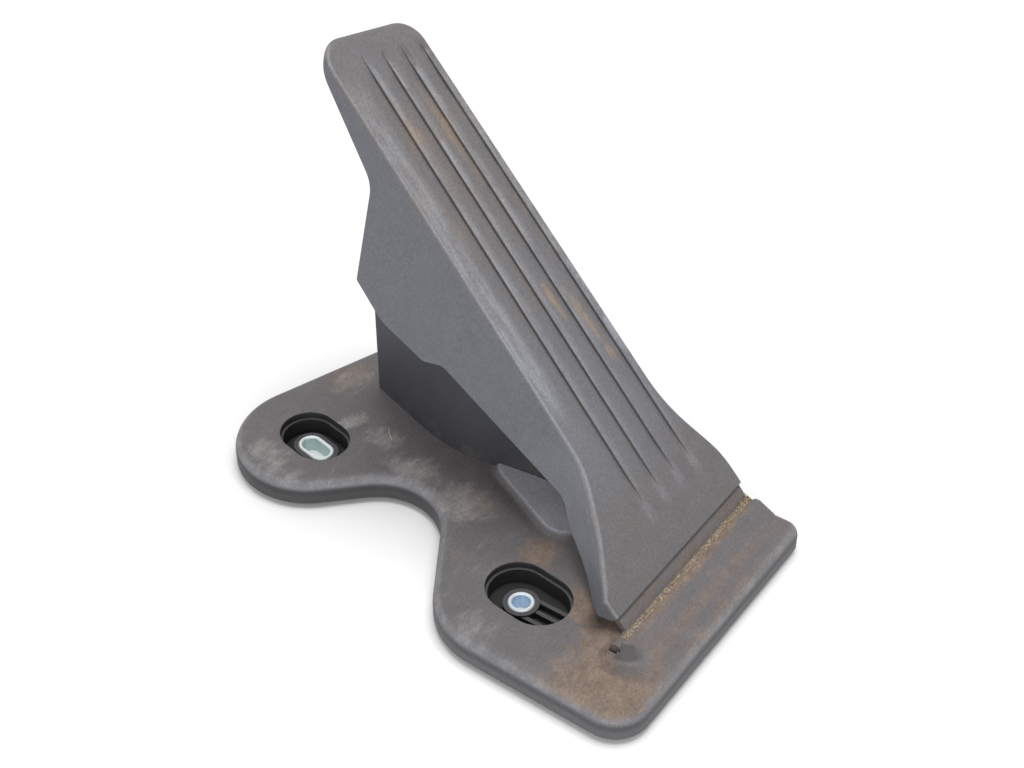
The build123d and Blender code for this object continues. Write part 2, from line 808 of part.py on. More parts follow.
with BuildPart() as housing_cover:
    with BuildSketch(Plane.YZ.offset(cover_inner)):
        add(housing_profile.sketch_local)
        with Locations((pivot_y, pivot_z)):
            Circle(bush_outer + press_gap, mode=Mode.SUBTRACT)
        with Locations(*side_screw_spots):
            Circle(screw_shank / 2 + screw_gap, mode=Mode.SUBTRACT)
    extrude(amount=housing_wall)
    with BuildSketch(Plane.YZ.offset(cover_inner)):
        with Locations(*ear_spots):
            Circle(post_radius)
    extrude(amount=-ear_boss_length)
    with BuildSketch(Plane.YZ.offset(housing_right)):
        with Locations(*ear_spots):
            Circle(screw_shank / 2 + screw_gap)
    extrude(amount=-housing_wall - ear_boss_length, mode=Mode.SUBTRACT)
housing_cover.part.label = "housing_cover"
export_step(housing_cover.part, "parts/housing_cover.step")


# Lever

heel_spot = Vector(spring_y, heel_z + heel_radius)

with BuildPart() as drive_lever:
    with BuildSketch(Plane.YZ.offset(lever_mid_x - lever_thickness / 2)) as arm:
        with Locations((pivot_y, pivot_z)):
            Circle(arm_root)
        with Locations(shoulder):
            Circle(shoulder_radius)
        make_hull()
    extrude(amount=lever_thickness)
    with BuildSketch(Plane.YZ.offset(lever_mid_x - lever_thickness / 2)) as tongue:
        with Locations(shoulder, (nose_y, nose_z)):
            Circle(tongue_radius)
        make_hull()
    extrude(amount=lever_thickness)
    with BuildSketch(Plane.YZ.offset(lever_mid_x - lever_thickness / 2)) as heel:
        with Locations((pivot_y, pivot_z)):
            Circle(hub_radius - 2)
        with Locations(heel_spot):
            Circle(heel_radius)
        make_hull()
        with Locations((spring_y, heel_z + heel_radius / 2)):
            Rectangle(2 * heel_radius, heel_radius)
        with Locations((spring_y, heel_z - spring_height / 2)):
            Rectangle(2 * cap_radius + 1, spring_height, mode=Mode.SUBTRACT)
    extrude(amount=lever_thickness)
    with BuildSketch(Plane.YZ.offset(hub_left)) as hub:
        with Locations((pivot_y, pivot_z)):
            Circle(hub_radius)
    extrude(amount=2 * hub_half_length)
    with BuildSketch(Plane.YZ.offset(hub_left)) as hub_bore:
        with Locations((pivot_y, pivot_z)):
            Circle(shaft_radius + press_gap)
    extrude(amount=2 * hub_half_length, mode=Mode.SUBTRACT)
drive_lever.part.label = "drive_lever"
export_step(drive_lever.part, "parts/drive_lever.step")

with BuildPart() as nose_cap:
    with BuildSketch(Plane.YZ.offset(lever_mid_x - nose_half_length)):
        with Locations((nose_y, nose_z)):
            Circle(nose_radius)
    extrude(amount=2 * nose_half_length)
    with BuildSketch(Plane.YZ.offset(lever_mid_x - lever_thickness / 2 - press_gap)):
        with Locations(shoulder, (nose_y, nose_z)):
            Circle(tongue_radius + press_gap)
        make_hull()
    extrude(amount=lever_thickness + 2 * press_gap, mode=Mode.SUBTRACT)
nose_cap.part.label = "nose_cap"
export_step(nose_cap.part, "parts/nose_cap.step")

with BuildPart() as pivot_shaft:
    with BuildSketch(Plane.YZ.offset(shaft_left)):
        with Locations((pivot_y, pivot_z)):
            Circle(shaft_radius)
    extrude(amount=shaft_right - shaft_left)
    chamfer(pivot_shaft.edges(), shaft_edge)
pivot_shaft.part.label = "pivot_shaft"
export_step(pivot_shaft.part, "parts/pivot_shaft.step")

with BuildPart() as left_bush:
    with BuildSketch(Plane.YZ.offset(left_boss_x - bush_length)):
        with Locations((pivot_y, pivot_z)):
            Circle(bush_outer)
            Circle(shaft_radius + shaft_gap, mode=Mode.SUBTRACT)
    extrude(amount=bush_length)
left_bush.part.label = "left_bush"
export_step(left_bush.part, "parts/left_bush.step")

with BuildPart() as right_bush:
    with BuildSketch(Plane.YZ.offset(cover_inner)):
        with Locations((pivot_y, pivot_z)):
            Circle(bush_outer)
            Circle(shaft_radius + shaft_gap, mode=Mode.SUBTRACT)
    extrude(amount=housing_wall)
right_bush.part.label = "right_bush"
export_step(right_bush.part, "parts/right_bush.step")

with BuildPart() as left_friction_washer:
    with BuildSketch(Plane.YZ.offset(left_boss_x)):
        with Locations((pivot_y, pivot_z)):
            Circle(washer_radius)
            Circle(shaft_radius + washer_gap, mode=Mode.SUBTRACT)
    extrude(amount=washer_thickness)
left_friction_washer.part.label = "left_friction_washer"
export_step(left_friction_washer.part, "parts/left_friction_washer.step")

with BuildPart() as right_friction_washer:
    with BuildSketch(Plane.YZ.offset(cover_inner - washer_thickness)):
        with Locations((pivot_y, pivot_z)):
            Circle(washer_radius)
            Circle(shaft_radius + washer_gap, mode=Mode.SUBTRACT)
    extrude(amount=washer_thickness)
right_friction_washer.part.label = "right_friction_washer"
export_step(right_friction_washer.part, "parts/right_friction_washer.step")


# Return springs

def coil(wire, mean_radius, turns):
    rise = spring_height - wire - spring_slack
    with BuildPart(mode=Mode.PRIVATE) as made:
        with BuildLine():
            center = (lever_mid_x, spring_y, housing_floor + (wire + spring_slack) / 2)
            path = Helix(rise / turns, rise, mean_radius, center=center)
        with BuildSketch(Plane(origin=path @ 0, z_dir=path % 0)):
            Circle(wire / 2)
        sweep(is_frenet=True)
    return made


outer_spring = coil(outer_wire, outer_mean_radius, outer_turns)
outer_spring.part.label = "outer_spring"
export_step(outer_spring.part, "parts/outer_spring.step")

inner_spring = coil(inner_wire, inner_mean_radius, inner_turns)
inner_spring.part.label = "inner_spring"
export_step(inner_spring.part, "parts/inner_spring.step")

with BuildPart() as spring_cap:
    with BuildSketch(Plane.XY.offset(spring_top)):
        with Locations((lever_mid_x, spring_y)):
            Circle(cap_radius)
    extrude(amount=cap_thickness)
    with BuildSketch(Plane.XY.offset(spring_top)):
        with Locations((lever_mid_x, spring_y)):
            Circle(inner_mean_radius - inner_wire / 2 - spring_slack)
    extrude(amount=-cap_thickness)
spring_cap.part.label = "spring_cap"
export_step(spring_cap.part, "parts/spring_cap.step")


# Position sensor

with BuildPart() as magnet_carrier:
    with BuildSketch(Plane.YZ.offset(carrier_x)):
        with Locations((pivot_y, pivot_z)):
            Circle(carrier_radius)
    extrude(amount=magnet_x - carrier_x)
    with BuildSketch(Plane.YZ.offset(magnet_x)):
        with Locations((pivot_y, pivot_z)):
            Circle(magnet_inner - press_gap)
    extrude(amount=magnet_thickness)
    with BuildSketch(Plane.YZ.offset(carrier_x)):
        with Locations((pivot_y, pivot_z)):
            Circle(shaft_radius + press_gap)
    extrude(amount=magnet_x - carrier_x, mode=Mode.SUBTRACT)
magnet_carrier.part.label = "magnet_carrier"
export_step(magnet_carrier.part, "parts/magnet_carrier.step")

with BuildPart() as ring_magnet:
    with BuildSketch(Plane.YZ.offset(magnet_x)):
        with Locations((pivot_y, pivot_z)):
            Circle(magnet_outer)
            Circle(magnet_inner, mode=Mode.SUBTRACT)
    extrude(amount=magnet_thickness)
ring_magnet.part.label = "ring_magnet"
export_step(ring_magnet.part, "parts/ring_magnet.step")

with BuildPart() as sensor_board:
    with BuildSketch(Plane.YZ.offset(board_x)):
        with Locations((pivot_y, pivot_z)):
            RectangleRounded(board_side, board_side, board_round)
    extrude(amount=board_thickness)
sensor_board.part.label = "sensor_board"
export_step(sensor_board.part, "parts/sensor_board.step")

with BuildPart() as hall_sensors:
    chip_x = board_x - chip_size[0] / 2
    with Locations((chip_x, pivot_y - chip_size[1], pivot_z), (chip_x, pivot_y + chip_size[1], pivot_z)):
        Box(*chip_size)
hall_sensors.part.label = "hall_sensors"
export_step(hall_sensors.part, "parts/hall_sensors.step")

socket_x = housing_right + 1 + socket_width / 2
socket_end = pivot_y + socket_reach
socket_back = socket_end - socket_depth
pin_spots = [
    (socket_x + column * pin_pitch / 2, pivot_z + row * pin_pitch)
    for column in (-1, 1)
    for row in (-1, 0, 1)
]

with BuildPart() as sensor_cover:
    with BuildSketch(Plane.YZ.offset(housing_right)):
        with Locations((pivot_y, pivot_z)):
            Circle(sensor_radius)
    extrude(amount=sensor_depth)
    fillet(sensor_cover.edges().group_by(Axis.X)[-1], sensor_wall)
    for spot in ear_spots:
        with BuildSketch(Plane.YZ.offset(housing_right)):
            with Locations(spot):
                Circle(ear_radius)
            with Locations((pivot_y, pivot_z)):
                Circle(ear_radius)
            make_hull()
        extrude(amount=ear_thickness)
    with BuildSketch(Plane.XZ.offset(-pivot_y)):
        with Locations((socket_x, pivot_z)):
            RectangleRounded(socket_width, socket_height, socket_wall)
    extrude(amount=-socket_reach)
    with BuildSketch(Plane.XZ.offset(-socket_back)):
        with Locations((socket_x, pivot_z)):
            Rectangle(socket_width - 2 * socket_wall, socket_height - 2 * socket_wall)
    extrude(amount=-socket_depth, mode=Mode.SUBTRACT)
    with BuildSketch(Plane.YZ.offset(housing_right)):
        with Locations((pivot_y, pivot_z)):
            Circle(sensor_radius - sensor_wall)
    extrude(amount=sensor_depth - sensor_wall, mode=Mode.SUBTRACT)
    with BuildSketch(Plane.YZ.offset(board_x + board_thickness)):
        with Locations((pivot_y, pivot_z)):
            with GridLocations(board_side - 6, board_side - 6, 2, 2):
                Circle(sensor_wall)
    extrude(amount=housing_right + sensor_depth - sensor_wall - board_x - board_thickness)
    with BuildSketch(Plane.YZ.offset(housing_right)):
        with Locations((pivot_y, pivot_z)):
            Circle(sensor_radius - sensor_wall / 2 + seal_width / 2 + press_gap)
            Circle(sensor_radius - sensor_wall / 2 - seal_width / 2 - press_gap, mode=Mode.SUBTRACT)
    extrude(amount=seal_height, mode=Mode.SUBTRACT)
    with BuildSketch(Plane.YZ.offset(housing_right)):
        with Locations(*ear_spots):
            Circle(screw_shank / 2 + screw_gap)
    extrude(amount=ear_thickness, mode=Mode.SUBTRACT)
    with BuildSketch(Plane.XZ.offset(-pivot_y)):
        with Locations(*pin_spots):
            Rectangle(pin_side + 2 * press_gap, pin_side + 2 * press_gap)
    extrude(amount=-(socket_back - pivot_y), mode=Mode.SUBTRACT)
sensor_cover.part.label = "sensor_cover"
export_step(sensor_cover.part, "parts/sensor_cover.step")

with BuildPart() as cover_seal:
    with BuildSketch(Plane.YZ.offset(housing_right)):
        with Locations((pivot_y, pivot_z)):
            Circle(sensor_radius - sensor_wall / 2 + seal_width / 2)
            Circle(sensor_radius - sensor_wall / 2 - seal_width / 2, mode=Mode.SUBTRACT)
    extrude(amount=seal_height)
cover_seal.part.label = "cover_seal"
export_step(cover_seal.part, "parts/cover_seal.step")

with BuildPart() as terminals:
    with BuildSketch(Plane.XZ.offset(-(socket_end - pin_setback))):
        with Locations(*pin_spots):
            Rectangle(pin_side, pin_side)
    extrude(amount=pin_length)
terminals.part.label = "terminals"
export_step(terminals.part, "parts/terminals.step")


# Screws

def screws(plane, spots, length):
    # Heads stand on the plane, shanks go down from it
    with BuildPart(mode=Mode.PRIVATE) as made:
        with BuildSketch(plane):
            with Locations(*spots):
                Circle(screw_head / 2)
        extrude(amount=screw_head_height)
        with BuildSketch(plane):
            with Locations(*spots):
                Circle(screw_shank / 2)
        extrude(amount=-length)
        with BuildSketch(plane.offset(screw_head_height)):
            with Locations(*spots):
                RegularPolygon(screw_socket / 2, 6)
        extrude(amount=-screw_head_height / 2, mode=Mode.SUBTRACT)
    return made


housing_screws = screws(Plane.YZ.offset(housing_right), side_screw_spots, side_screw_length)
housing_screws.part.label = "housing_screws"
export_step(housing_screws.part, "parts/housing_screws.step")

sensor_screws = screws(Plane.YZ.offset(housing_right + ear_thickness), ear_spots, sensor_screw_length)
sensor_screws.part.label = "sensor_screws"
export_step(sensor_screws.part, "parts/sensor_screws.step")

under_plane = Plane(origin=(0, 0, skin_under), x_dir=(1, 0, 0), z_dir=(0, 0, -1))
under_spots = [(x, -y) for x, y in base_screw_spots]
base_screws = screws(under_plane, under_spots, base_screw_length)
base_screws.part.label = "base_screws"
export_step(base_screws.part, "parts/base_screws.step")
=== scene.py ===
import math

import bmesh
import bpy
from mathutils import Matrix, Vector, noise


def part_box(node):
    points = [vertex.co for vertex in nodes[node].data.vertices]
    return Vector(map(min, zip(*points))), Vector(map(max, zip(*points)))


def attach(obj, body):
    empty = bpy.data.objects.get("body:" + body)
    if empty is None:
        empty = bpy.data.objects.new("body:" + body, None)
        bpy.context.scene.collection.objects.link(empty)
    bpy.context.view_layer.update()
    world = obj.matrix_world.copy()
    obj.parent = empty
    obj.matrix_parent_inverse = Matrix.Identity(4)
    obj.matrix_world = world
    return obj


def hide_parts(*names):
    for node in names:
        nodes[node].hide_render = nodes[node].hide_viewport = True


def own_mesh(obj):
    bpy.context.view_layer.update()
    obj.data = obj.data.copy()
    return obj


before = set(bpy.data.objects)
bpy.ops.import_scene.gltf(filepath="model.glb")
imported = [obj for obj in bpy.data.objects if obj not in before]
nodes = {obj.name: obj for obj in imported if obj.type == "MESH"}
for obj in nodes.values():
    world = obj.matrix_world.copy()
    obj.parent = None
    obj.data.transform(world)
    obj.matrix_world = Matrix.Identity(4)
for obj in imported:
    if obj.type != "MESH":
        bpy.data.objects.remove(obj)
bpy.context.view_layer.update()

scene = bpy.context.scene
scene.view_settings.view_transform = "Standard"


def linear(hexColour):
    # sRGB hex to the linear colour that the shaders take
    parts = [int(hexColour[i:i + 2], 16) / 255 for i in (1, 3, 5)]
    return [c / 12.92 if c <= 0.04045 else ((c + 0.055) / 1.055) ** 2.4 for c in parts] + [1.0]


def addNode(tree, kind, settings=None, inputs=None):
    # one node with its settings, its values and the sockets that feed it
    node = tree.nodes.new(kind)
    for name, value in (settings or {}).items():
        setattr(node, name, value)
    for name, value in (inputs or {}).items():
        socket = node.inputs[name]
        if isinstance(value, bpy.types.NodeSocket):
            tree.links.new(value, socket)
        else:
            socket.default_value = value
    return node


def newMaterial(name):
    # an empty material, with the parts of it that the code below links to
    material = bpy.data.materials.new(name)
    material.use_nodes = True
    tree = material.node_tree
    return material, tree, tree.nodes["Principled BSDF"], addNode(tree, "ShaderNodeTexCoord")


weldReach = 0.000005        # metres, closer points become one


def closeTube(tube):
    # joins the rings of a swept wire and shuts its two ends
    bmesh.ops.remove_doubles(tube, verts=tube.verts, dist=weldReach)
    bmesh.ops.holes_fill(tube, edges=tube.edges, sides=0)
    bmesh.ops.recalc_face_normals(tube, faces=tube.faces)


def addPiece(name, shape, material):
    # the finished shape as an object, which the caller then gives its body
    mesh = bpy.data.meshes.new(name)
    shape.to_mesh(mesh)
    shape.free()
    mesh.materials.append(material)
    piece = bpy.data.objects.new(name, mesh)
    scene.collection.objects.link(piece)
    return piece


# Camera, floor and light

shot = {
    "place": (-0.37073, -0.26052, 0.49262),
    "azimuth": -54.479,
    "elevation": 40.103,
    "lens": 63.28,
    "sensor": 36.0,
    "nearest": 0.01,
}

cameraData = bpy.data.cameras.new("camera")
cameraData.lens = shot["lens"]
cameraData.sensor_width = shot["sensor"]
cameraData.clip_start = shot["nearest"]
camera = bpy.data.objects.new("camera", cameraData)
camera.location = shot["place"]
camera.rotation_euler = (math.radians(90 - shot["elevation"]), 0, math.radians(shot["azimuth"]))
scene.collection.objects.link(camera)
scene.camera = camera

studio = {
    "floorColour": "#fbfbfb",
    "floorSize": 2.0,
    "floorFade": (0.5, 0.9),            # how far out the paper fades into the white behind it
    "skyStrength": 0.56,
    "aim": (0.04, 0.03, 0.05),
    "keyPlace": (0.1, -0.1, 1.5),
    "keySize": 1.0,
    "keyPower": 13.5,
    "fillPlace": (-1.3, -0.7, 0.5),
    "fillSize": 1.2,
    "fillPower": 10.0,
}

world = bpy.data.worlds.new("studio")
scene.world = world
world.use_nodes = True
skyTree = world.node_tree
skyTree.nodes.clear()
rays = addNode(skyTree, "ShaderNodeLightPath")
shownRay = rays.outputs["Is Camera Ray"]
for rayName in ("Is Glossy Ray", "Is Transmission Ray"):
    shownRay = addNode(skyTree, "ShaderNodeMath", {"operation": "MAXIMUM"}, {
        0: shownRay, 1: rays.outputs[rayName],
    }).outputs[0]
skyStrength = addNode(skyTree, "ShaderNodeMix", {"data_type": "FLOAT"}, {
    0: shownRay,
    2: studio["skyStrength"],
    3: 1.0,
})
sky = addNode(skyTree, "ShaderNodeBackground", None, {
    "Color": (1, 1, 1, 1),
    "Strength": skyStrength.outputs[0],
})
addNode(skyTree, "ShaderNodeOutputWorld", None, {"Surface": sky.outputs[0]})


def softLamp(name, place, size, power):
    data = bpy.data.lights.new(name, "AREA")
    data.shape = "DISK"
    data.size = size
    data.energy = power
    lamp = bpy.data.objects.new(name, data)
    lamp.location = place
    lamp.rotation_euler = (Vector(studio["aim"]) - Vector(place)).to_track_quat("-Z", "Y").to_euler()
    scene.collection.objects.link(lamp)


softLamp("keyLamp", studio["keyPlace"], studio["keySize"], studio["keyPower"])
softLamp("fillLamp", studio["fillPlace"], studio["fillSize"], studio["fillPower"])

# matt white paper, so the object's shadow stays on it
floorMaterial = bpy.data.materials.new("paperSweep")
floorMaterial.use_nodes = True
floorTree = floorMaterial.node_tree
floorTree.nodes.clear()
paper = addNode(floorTree, "ShaderNodeBsdfDiffuse", None, {"Color": linear(studio["floorColour"])})
floorPlace = addNode(floorTree, "ShaderNodeTexCoord")
floorReach = addNode(floorTree, "ShaderNodeVectorMath", {"operation": "LENGTH"}, {
    0: floorPlace.outputs["Object"],
})
floorFade = addNode(floorTree, "ShaderNodeMapRange", {"interpolation_type": "SMOOTHSTEP"}, {
    "Value": floorReach.outputs["Value"],
    "From Min": studio["floorFade"][0],
    "From Max": studio["floorFade"][1],
})
openWhite = addNode(floorTree, "ShaderNodeBsdfTransparent")
sweep = addNode(floorTree, "ShaderNodeMixShader", None, {
    0: floorFade.outputs[0], 1: paper.outputs[0], 2: openWhite.outputs[0],
})
addNode(floorTree, "ShaderNodeOutputMaterial", None, {"Surface": sweep.outputs[0]})
sheet = bmesh.new()
bmesh.ops.create_grid(sheet, x_segments=1, y_segments=1, size=studio["floorSize"])
floor = addPiece("floor", sheet, floorMaterial)
print("stage: camera, floor and lamps")


# Plain materials of the hidden and small pieces

# grit is the grain's size in mm, and lift its depth
plainFinishes = {
    # cold-formed screws: pale grey metal with a soft, slightly cloudy shine
    "zincPlatedScrew": {
        "colour": "#b4b4b0", "metallic": 1.0, "roughness": 0.35, "grit": 0.4, "lift": 0.02,
        "nodes": ["housing_screws", "base_screws", "sensor_screws"],
    },
    # turned and ground bar: a clear, smooth highlight along the shaft
    "groundSteel": {
        "colour": "#c4c4c4", "metallic": 1.0, "roughness": 0.22, "grit": 0.2, "lift": 0.01,
        "nodes": ["pivot_shaft"],
    },
    # darker than the shaft, with the dull shine of drawn wire; the springs below take it
    "drawnSpringWire": {
        "colour": "#8b8c90", "metallic": 1.0, "roughness": 0.32, "grit": 0.3, "lift": 0.01,
        "nodes": [],
    },
    # uncoloured plastic for sliding on: warm white, waxy and half matt
    "naturalAcetal": {
        "colour": "#d9d6cc", "metallic": 0.0, "roughness": 0.45, "grit": 0.5, "lift": 0.02,
        "nodes": ["slider_plate", "nose_cap", "spring_cap"],
    },
    # filled plastic of bushes and washers: flat olive brown
    "bearingPlastic": {
        "colour": "#7d7460", "metallic": 0.0, "roughness": 0.5, "grit": 0.5, "lift": 0.02,
        "nodes": ["left_bush", "right_bush", "left_friction_washer", "right_friction_washer"],
    },
    # pressed and fired powder: dark grey, dull and a little rough
    "sinteredFerrite": {
        "colour": "#3c3c40", "metallic": 0.3, "roughness": 0.55, "grit": 0.3, "lift": 0.03,
        "nodes": ["ring_magnet"],
    },
    # lacquered circuit board: deep green with a soft gloss
    "solderMask": {
        "colour": "#1f5a34", "metallic": 0.0, "roughness": 0.35, "grit": 1.2, "lift": 0.01,
        "nodes": ["sensor_board"],
    },
    # chip cases: plain matt black
    "epoxyMoulding": {
        "colour": "#1d1d1f", "metallic": 0.0, "roughness": 0.5, "grit": 0.3, "lift": 0.02,
        "nodes": ["hall_sensors"],
    },
    # stamped contacts: yellow metal under a pale tin coat
    "tinnedBrass": {
        "colour": "#cfc7ae", "metallic": 1.0, "roughness": 0.3, "grit": 0.3, "lift": 0.01,
        "nodes": ["terminals"],
    },
    # moulded seal: black and almost without shine
    "nitrileRubber": {
        "colour": "#232324", "metallic": 0.0, "roughness": 0.7, "grit": 0.4, "lift": 0.03,
        "nodes": ["cover_seal"],
    },
}
plainMottle = {"grains": 4, "shade": 0.82, "band": (0.3, 0.7), "bump": 0.3}


def plainFinish(name, look):
    # small parts: one colour with a fine mottle, and a faint grain in the surface
    material, tree, shader, place = newMaterial(name)
    mottle = addNode(tree, "ShaderNodeTexNoise", None, {
        "Vector": place.outputs["Object"],
        "Scale": 1000 / (plainMottle["grains"] * look["grit"]),
        "Detail": 4.0,
    })
    colour = linear(look["colour"])
    tone = addNode(tree, "ShaderNodeValToRGB", None, {"Fac": mottle.outputs["Fac"]})
    darkStop, paleStop = tone.color_ramp.elements
    darkStop.position, paleStop.position = plainMottle["band"]
    darkStop.color = [c * plainMottle["shade"] for c in colour[:3]] + [1.0]
    paleStop.color = colour
    tree.links.new(tone.outputs["Color"], shader.inputs["Base Color"])
    grain = addNode(tree, "ShaderNodeTexNoise", None, {
        "Vector": place.outputs["Object"],
        "Scale": 1000 / look["grit"],
        "Detail": 3.0,
    })
    bump = addNode(tree, "ShaderNodeBump", None, {
        "Strength": plainMottle["bump"],
        "Distance": look["lift"] / 1000,
        "Height": grain.outputs["Fac"],
    })
    tree.links.new(bump.outputs["Normal"], shader.inputs["Normal"])
    shader.inputs["Metallic"].default_value = look["metallic"]
    shader.inputs["Roughness"].default_value = look["roughness"]
    return material


def dress(nodeName, material):
    mesh = nodes[nodeName].data
    mesh.materials.clear()
    mesh.materials.append(material)


finishes = {}
for finishName, finishLook in plainFinishes.items():
    finishes[finishName] = plainFinish(finishName, finishLook)
    for nodeName in finishLook["nodes"]:
        dress(nodeName, finishes[finishName])
print("stage: plain finishes")


# Return springs: wound wire, which in the pedal closes up as the lever comes down on it; here each is built
# once, at its height in the model

# wire and radius in metres
springLooks = {
    "outerCoil": {"node": "outer_spring", "wire": 0.0015, "meanRadius": 0.0050, "turns": 5.5},
    "innerCoil": {"node": "inner_spring", "wire": 0.0010, "meanRadius": 0.0029, "turns": 7.5},
}
springWinding = {
    "stepsPerTurn": 24,
    "wireSides": 10,
    "shut": 0.22,           # part of the height that is left at full travel, clear of the tilted cap
}

for coilName, look in springLooks.items():
    low, high = (Vector(corner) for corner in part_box(look["node"]))
    seat = Vector(((low.x + high.x) / 2, (low.y + high.y) / 2, low.z))
    coil = bmesh.new()
    standing = Matrix.Rotation(math.radians(90), 4, "X")
    bmesh.ops.create_circle(
        coil, cap_ends=True, segments=springWinding["wireSides"], radius=look["wire"] / 2,
        matrix=Matrix.Translation((look["meanRadius"], 0, 0)) @ standing,
    )
    steps = round(look["turns"] * springWinding["stepsPerTurn"])
    climb = high.z - low.z - look["wire"]
    bmesh.ops.spin(
        coil, geom=coil.verts[:] + coil.edges[:] + coil.faces[:], cent=(0, 0, 0), axis=(0, 0, 1),
        dvec=(0, 0, climb / steps), angle=2 * math.pi * look["turns"], steps=steps,
    )
    closeTube(coil)
    bmesh.ops.translate(coil, verts=coil.verts, vec=seat + Vector((0, 0, look["wire"] / 2)))
    for face in coil.faces:
        face.smooth = True
    coilPiece = addPiece(coilName, coil, finishes["drawnSpringWire"])
    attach(coilPiece, "base")
    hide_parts(look["node"])
    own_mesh(coilPiece)
print("stage: return springs")


# Sleeves: zinc plate on steel tube, its end faces bright from the press, the bore passivated to a pale tint

sleeveLooks = {
    "front_sleeve": {"name": "zincPlateBlue", "face": "#e6edf2", "bore": "#bcd2e6"},
    "rear_sleeve": {"name": "zincPlateGreen", "face": "#f0f6f5", "bore": "#c3d6d4"},
}
sleeveFinish = {
    "metallic": 0.3,
    "roughness": 0.38,
    "endFace": (0.3, 0.8),              # how far up a face looks where the bore's tint gives way
    "tarnishSize": 1.8,                 # mm
    "tarnish": 0.3,
    "scuffSize": 0.5,
    "scuffLift": 0.02,
    "bump": 0.25,
}

for nodeName, look in sleeveLooks.items():
    material, tree, shader, place = newMaterial(look["name"])
    facing = addNode(tree, "ShaderNodeSeparateXYZ", None, {"Vector": place.outputs["Normal"]})
    upright = addNode(tree, "ShaderNodeMapRange", {"interpolation_type": "SMOOTHSTEP"}, {
        "Value": facing.outputs[2],
        "From Min": sleeveFinish["endFace"][0],
        "From Max": sleeveFinish["endFace"][1],
    })
    plate = addNode(tree, "ShaderNodeMix", {"data_type": "RGBA"}, {
        0: upright.outputs[0], 6: linear(look["bore"]), 7: linear(look["face"]),
    })
    tarnish = addNode(tree, "ShaderNodeTexNoise", None, {
        "Vector": place.outputs["Object"], "Scale": 1000 / sleeveFinish["tarnishSize"], "Detail": 5.0,
    })
    toned = addNode(tree, "ShaderNodeMix", {"data_type": "RGBA", "blend_type": "OVERLAY"}, {
        0: sleeveFinish["tarnish"], 6: plate.outputs[2], 7: tarnish.outputs["Fac"],
    })
    tree.links.new(toned.outputs[2], shader.inputs["Base Color"])
    scuffs = addNode(tree, "ShaderNodeTexNoise", None, {
        "Vector": place.outputs["Object"], "Scale": 1000 / sleeveFinish["scuffSize"], "Detail": 2.0,
    })
    bump = addNode(tree, "ShaderNodeBump", None, {
        "Strength": sleeveFinish["bump"],
        "Distance": sleeveFinish["scuffLift"] / 1000,
        "Height": scuffs.outputs["Fac"],
    })
    tree.links.new(bump.outputs["Normal"], shader.inputs["Normal"])
    shader.inputs["Metallic"].default_value = sleeveFinish["metallic"]
    shader.inputs["Roughness"].default_value = sleeveFinish["roughness"]
    dress(nodeName, material)
print("stage: sleeves")


# Glass-filled nylon, moulded with a fine spark-eroded grain: matt dark grey, paler where it is rubbed,
# with brown road dust in its hollows; its layers also carry painted highlights and painted shade

nylonLook = {
    "grainSize": 0.8,        # mm, drawn coarser than the real grain so that it shows
    "grainLift": 0.06,
    "grainTone": 0.42,
    "grainBump": 0.4,
    "mottleSize": 9.0,
    "cloudSize": 6.0,
    "cloudBand": (0.28, 0.72),
    "roughness": 0.6,
    "dustRoughness": 0.92,
}


def nylon(name, look):
    # what the three mouldings share; each links its own masks into its layers
    material, tree, shader, place = newMaterial(name)
    mottle = addNode(tree, "ShaderNodeTexNoise", None, {
        "Vector": place.outputs["Object"],
        "Scale": 1000 / nylonLook["mottleSize"],
        "Detail": 6.0,
        "Roughness": 0.65,
    })
    colour = addNode(tree, "ShaderNodeMix", {"data_type": "RGBA"}, {
        0: mottle.outputs["Fac"],
        6: linear(look["shade"]),
        7: linear(look["colour"]),
    })
    cloud = addNode(tree, "ShaderNodeTexNoise", None, {
        "Vector": place.outputs["Object"],
        "Scale": 1000 / nylonLook["cloudSize"],
        "Detail": 8.0,
        "Roughness": 0.75,
        "Distortion": 0.6,
    })
    cloudTone = addNode(tree, "ShaderNodeMapRange", None, {
        "Value": cloud.outputs["Fac"],
        "From Min": nylonLook["cloudBand"][0],
        "From Max": nylonLook["cloudBand"][1],
    })
    layers = {}
    for layer, (darker, paler) in look["layers"].items():
        tone = addNode(tree, "ShaderNodeMix", {"data_type": "RGBA"}, {
            0: cloudTone.outputs[0],
            6: linear(darker),
            7: linear(paler),
        })
        colour = addNode(tree, "ShaderNodeMix", {"data_type": "RGBA"}, {
            0: 0.0,
            6: colour.outputs[2],
            7: tone.outputs[2],
        })
        layers[layer] = colour.inputs[0]
    grain = addNode(tree, "ShaderNodeTexNoise", None, {
        "Vector": place.outputs["Object"],
        "Scale": 1000 / nylonLook["grainSize"],
        "Detail": 3.0,
    })
    colour = addNode(tree, "ShaderNodeMix", {"data_type": "RGBA", "blend_type": "OVERLAY"}, {
        0: nylonLook["grainTone"],
        6: colour.outputs[2],
        7: grain.outputs["Fac"],
    })
    tree.links.new(colour.outputs[2], shader.inputs["Base Color"])
    gloss = addNode(tree, "ShaderNodeMix", {"data_type": "FLOAT"}, {
        0: 0.0,
        2: nylonLook["roughness"],
        3: nylonLook["dustRoughness"],
    })
    tree.links.new(gloss.outputs[0], shader.inputs["Roughness"])
    layers["gloss"] = gloss.inputs[0]
    bump = addNode(tree, "ShaderNodeBump", None, {
        "Strength": nylonLook["grainBump"],
        "Distance": nylonLook["grainLift"] / 1000,
        "Height": grain.outputs["Fac"],
    })
    tree.links.new(bump.outputs["Normal"], shader.inputs["Normal"])
    return material, tree, place, layers


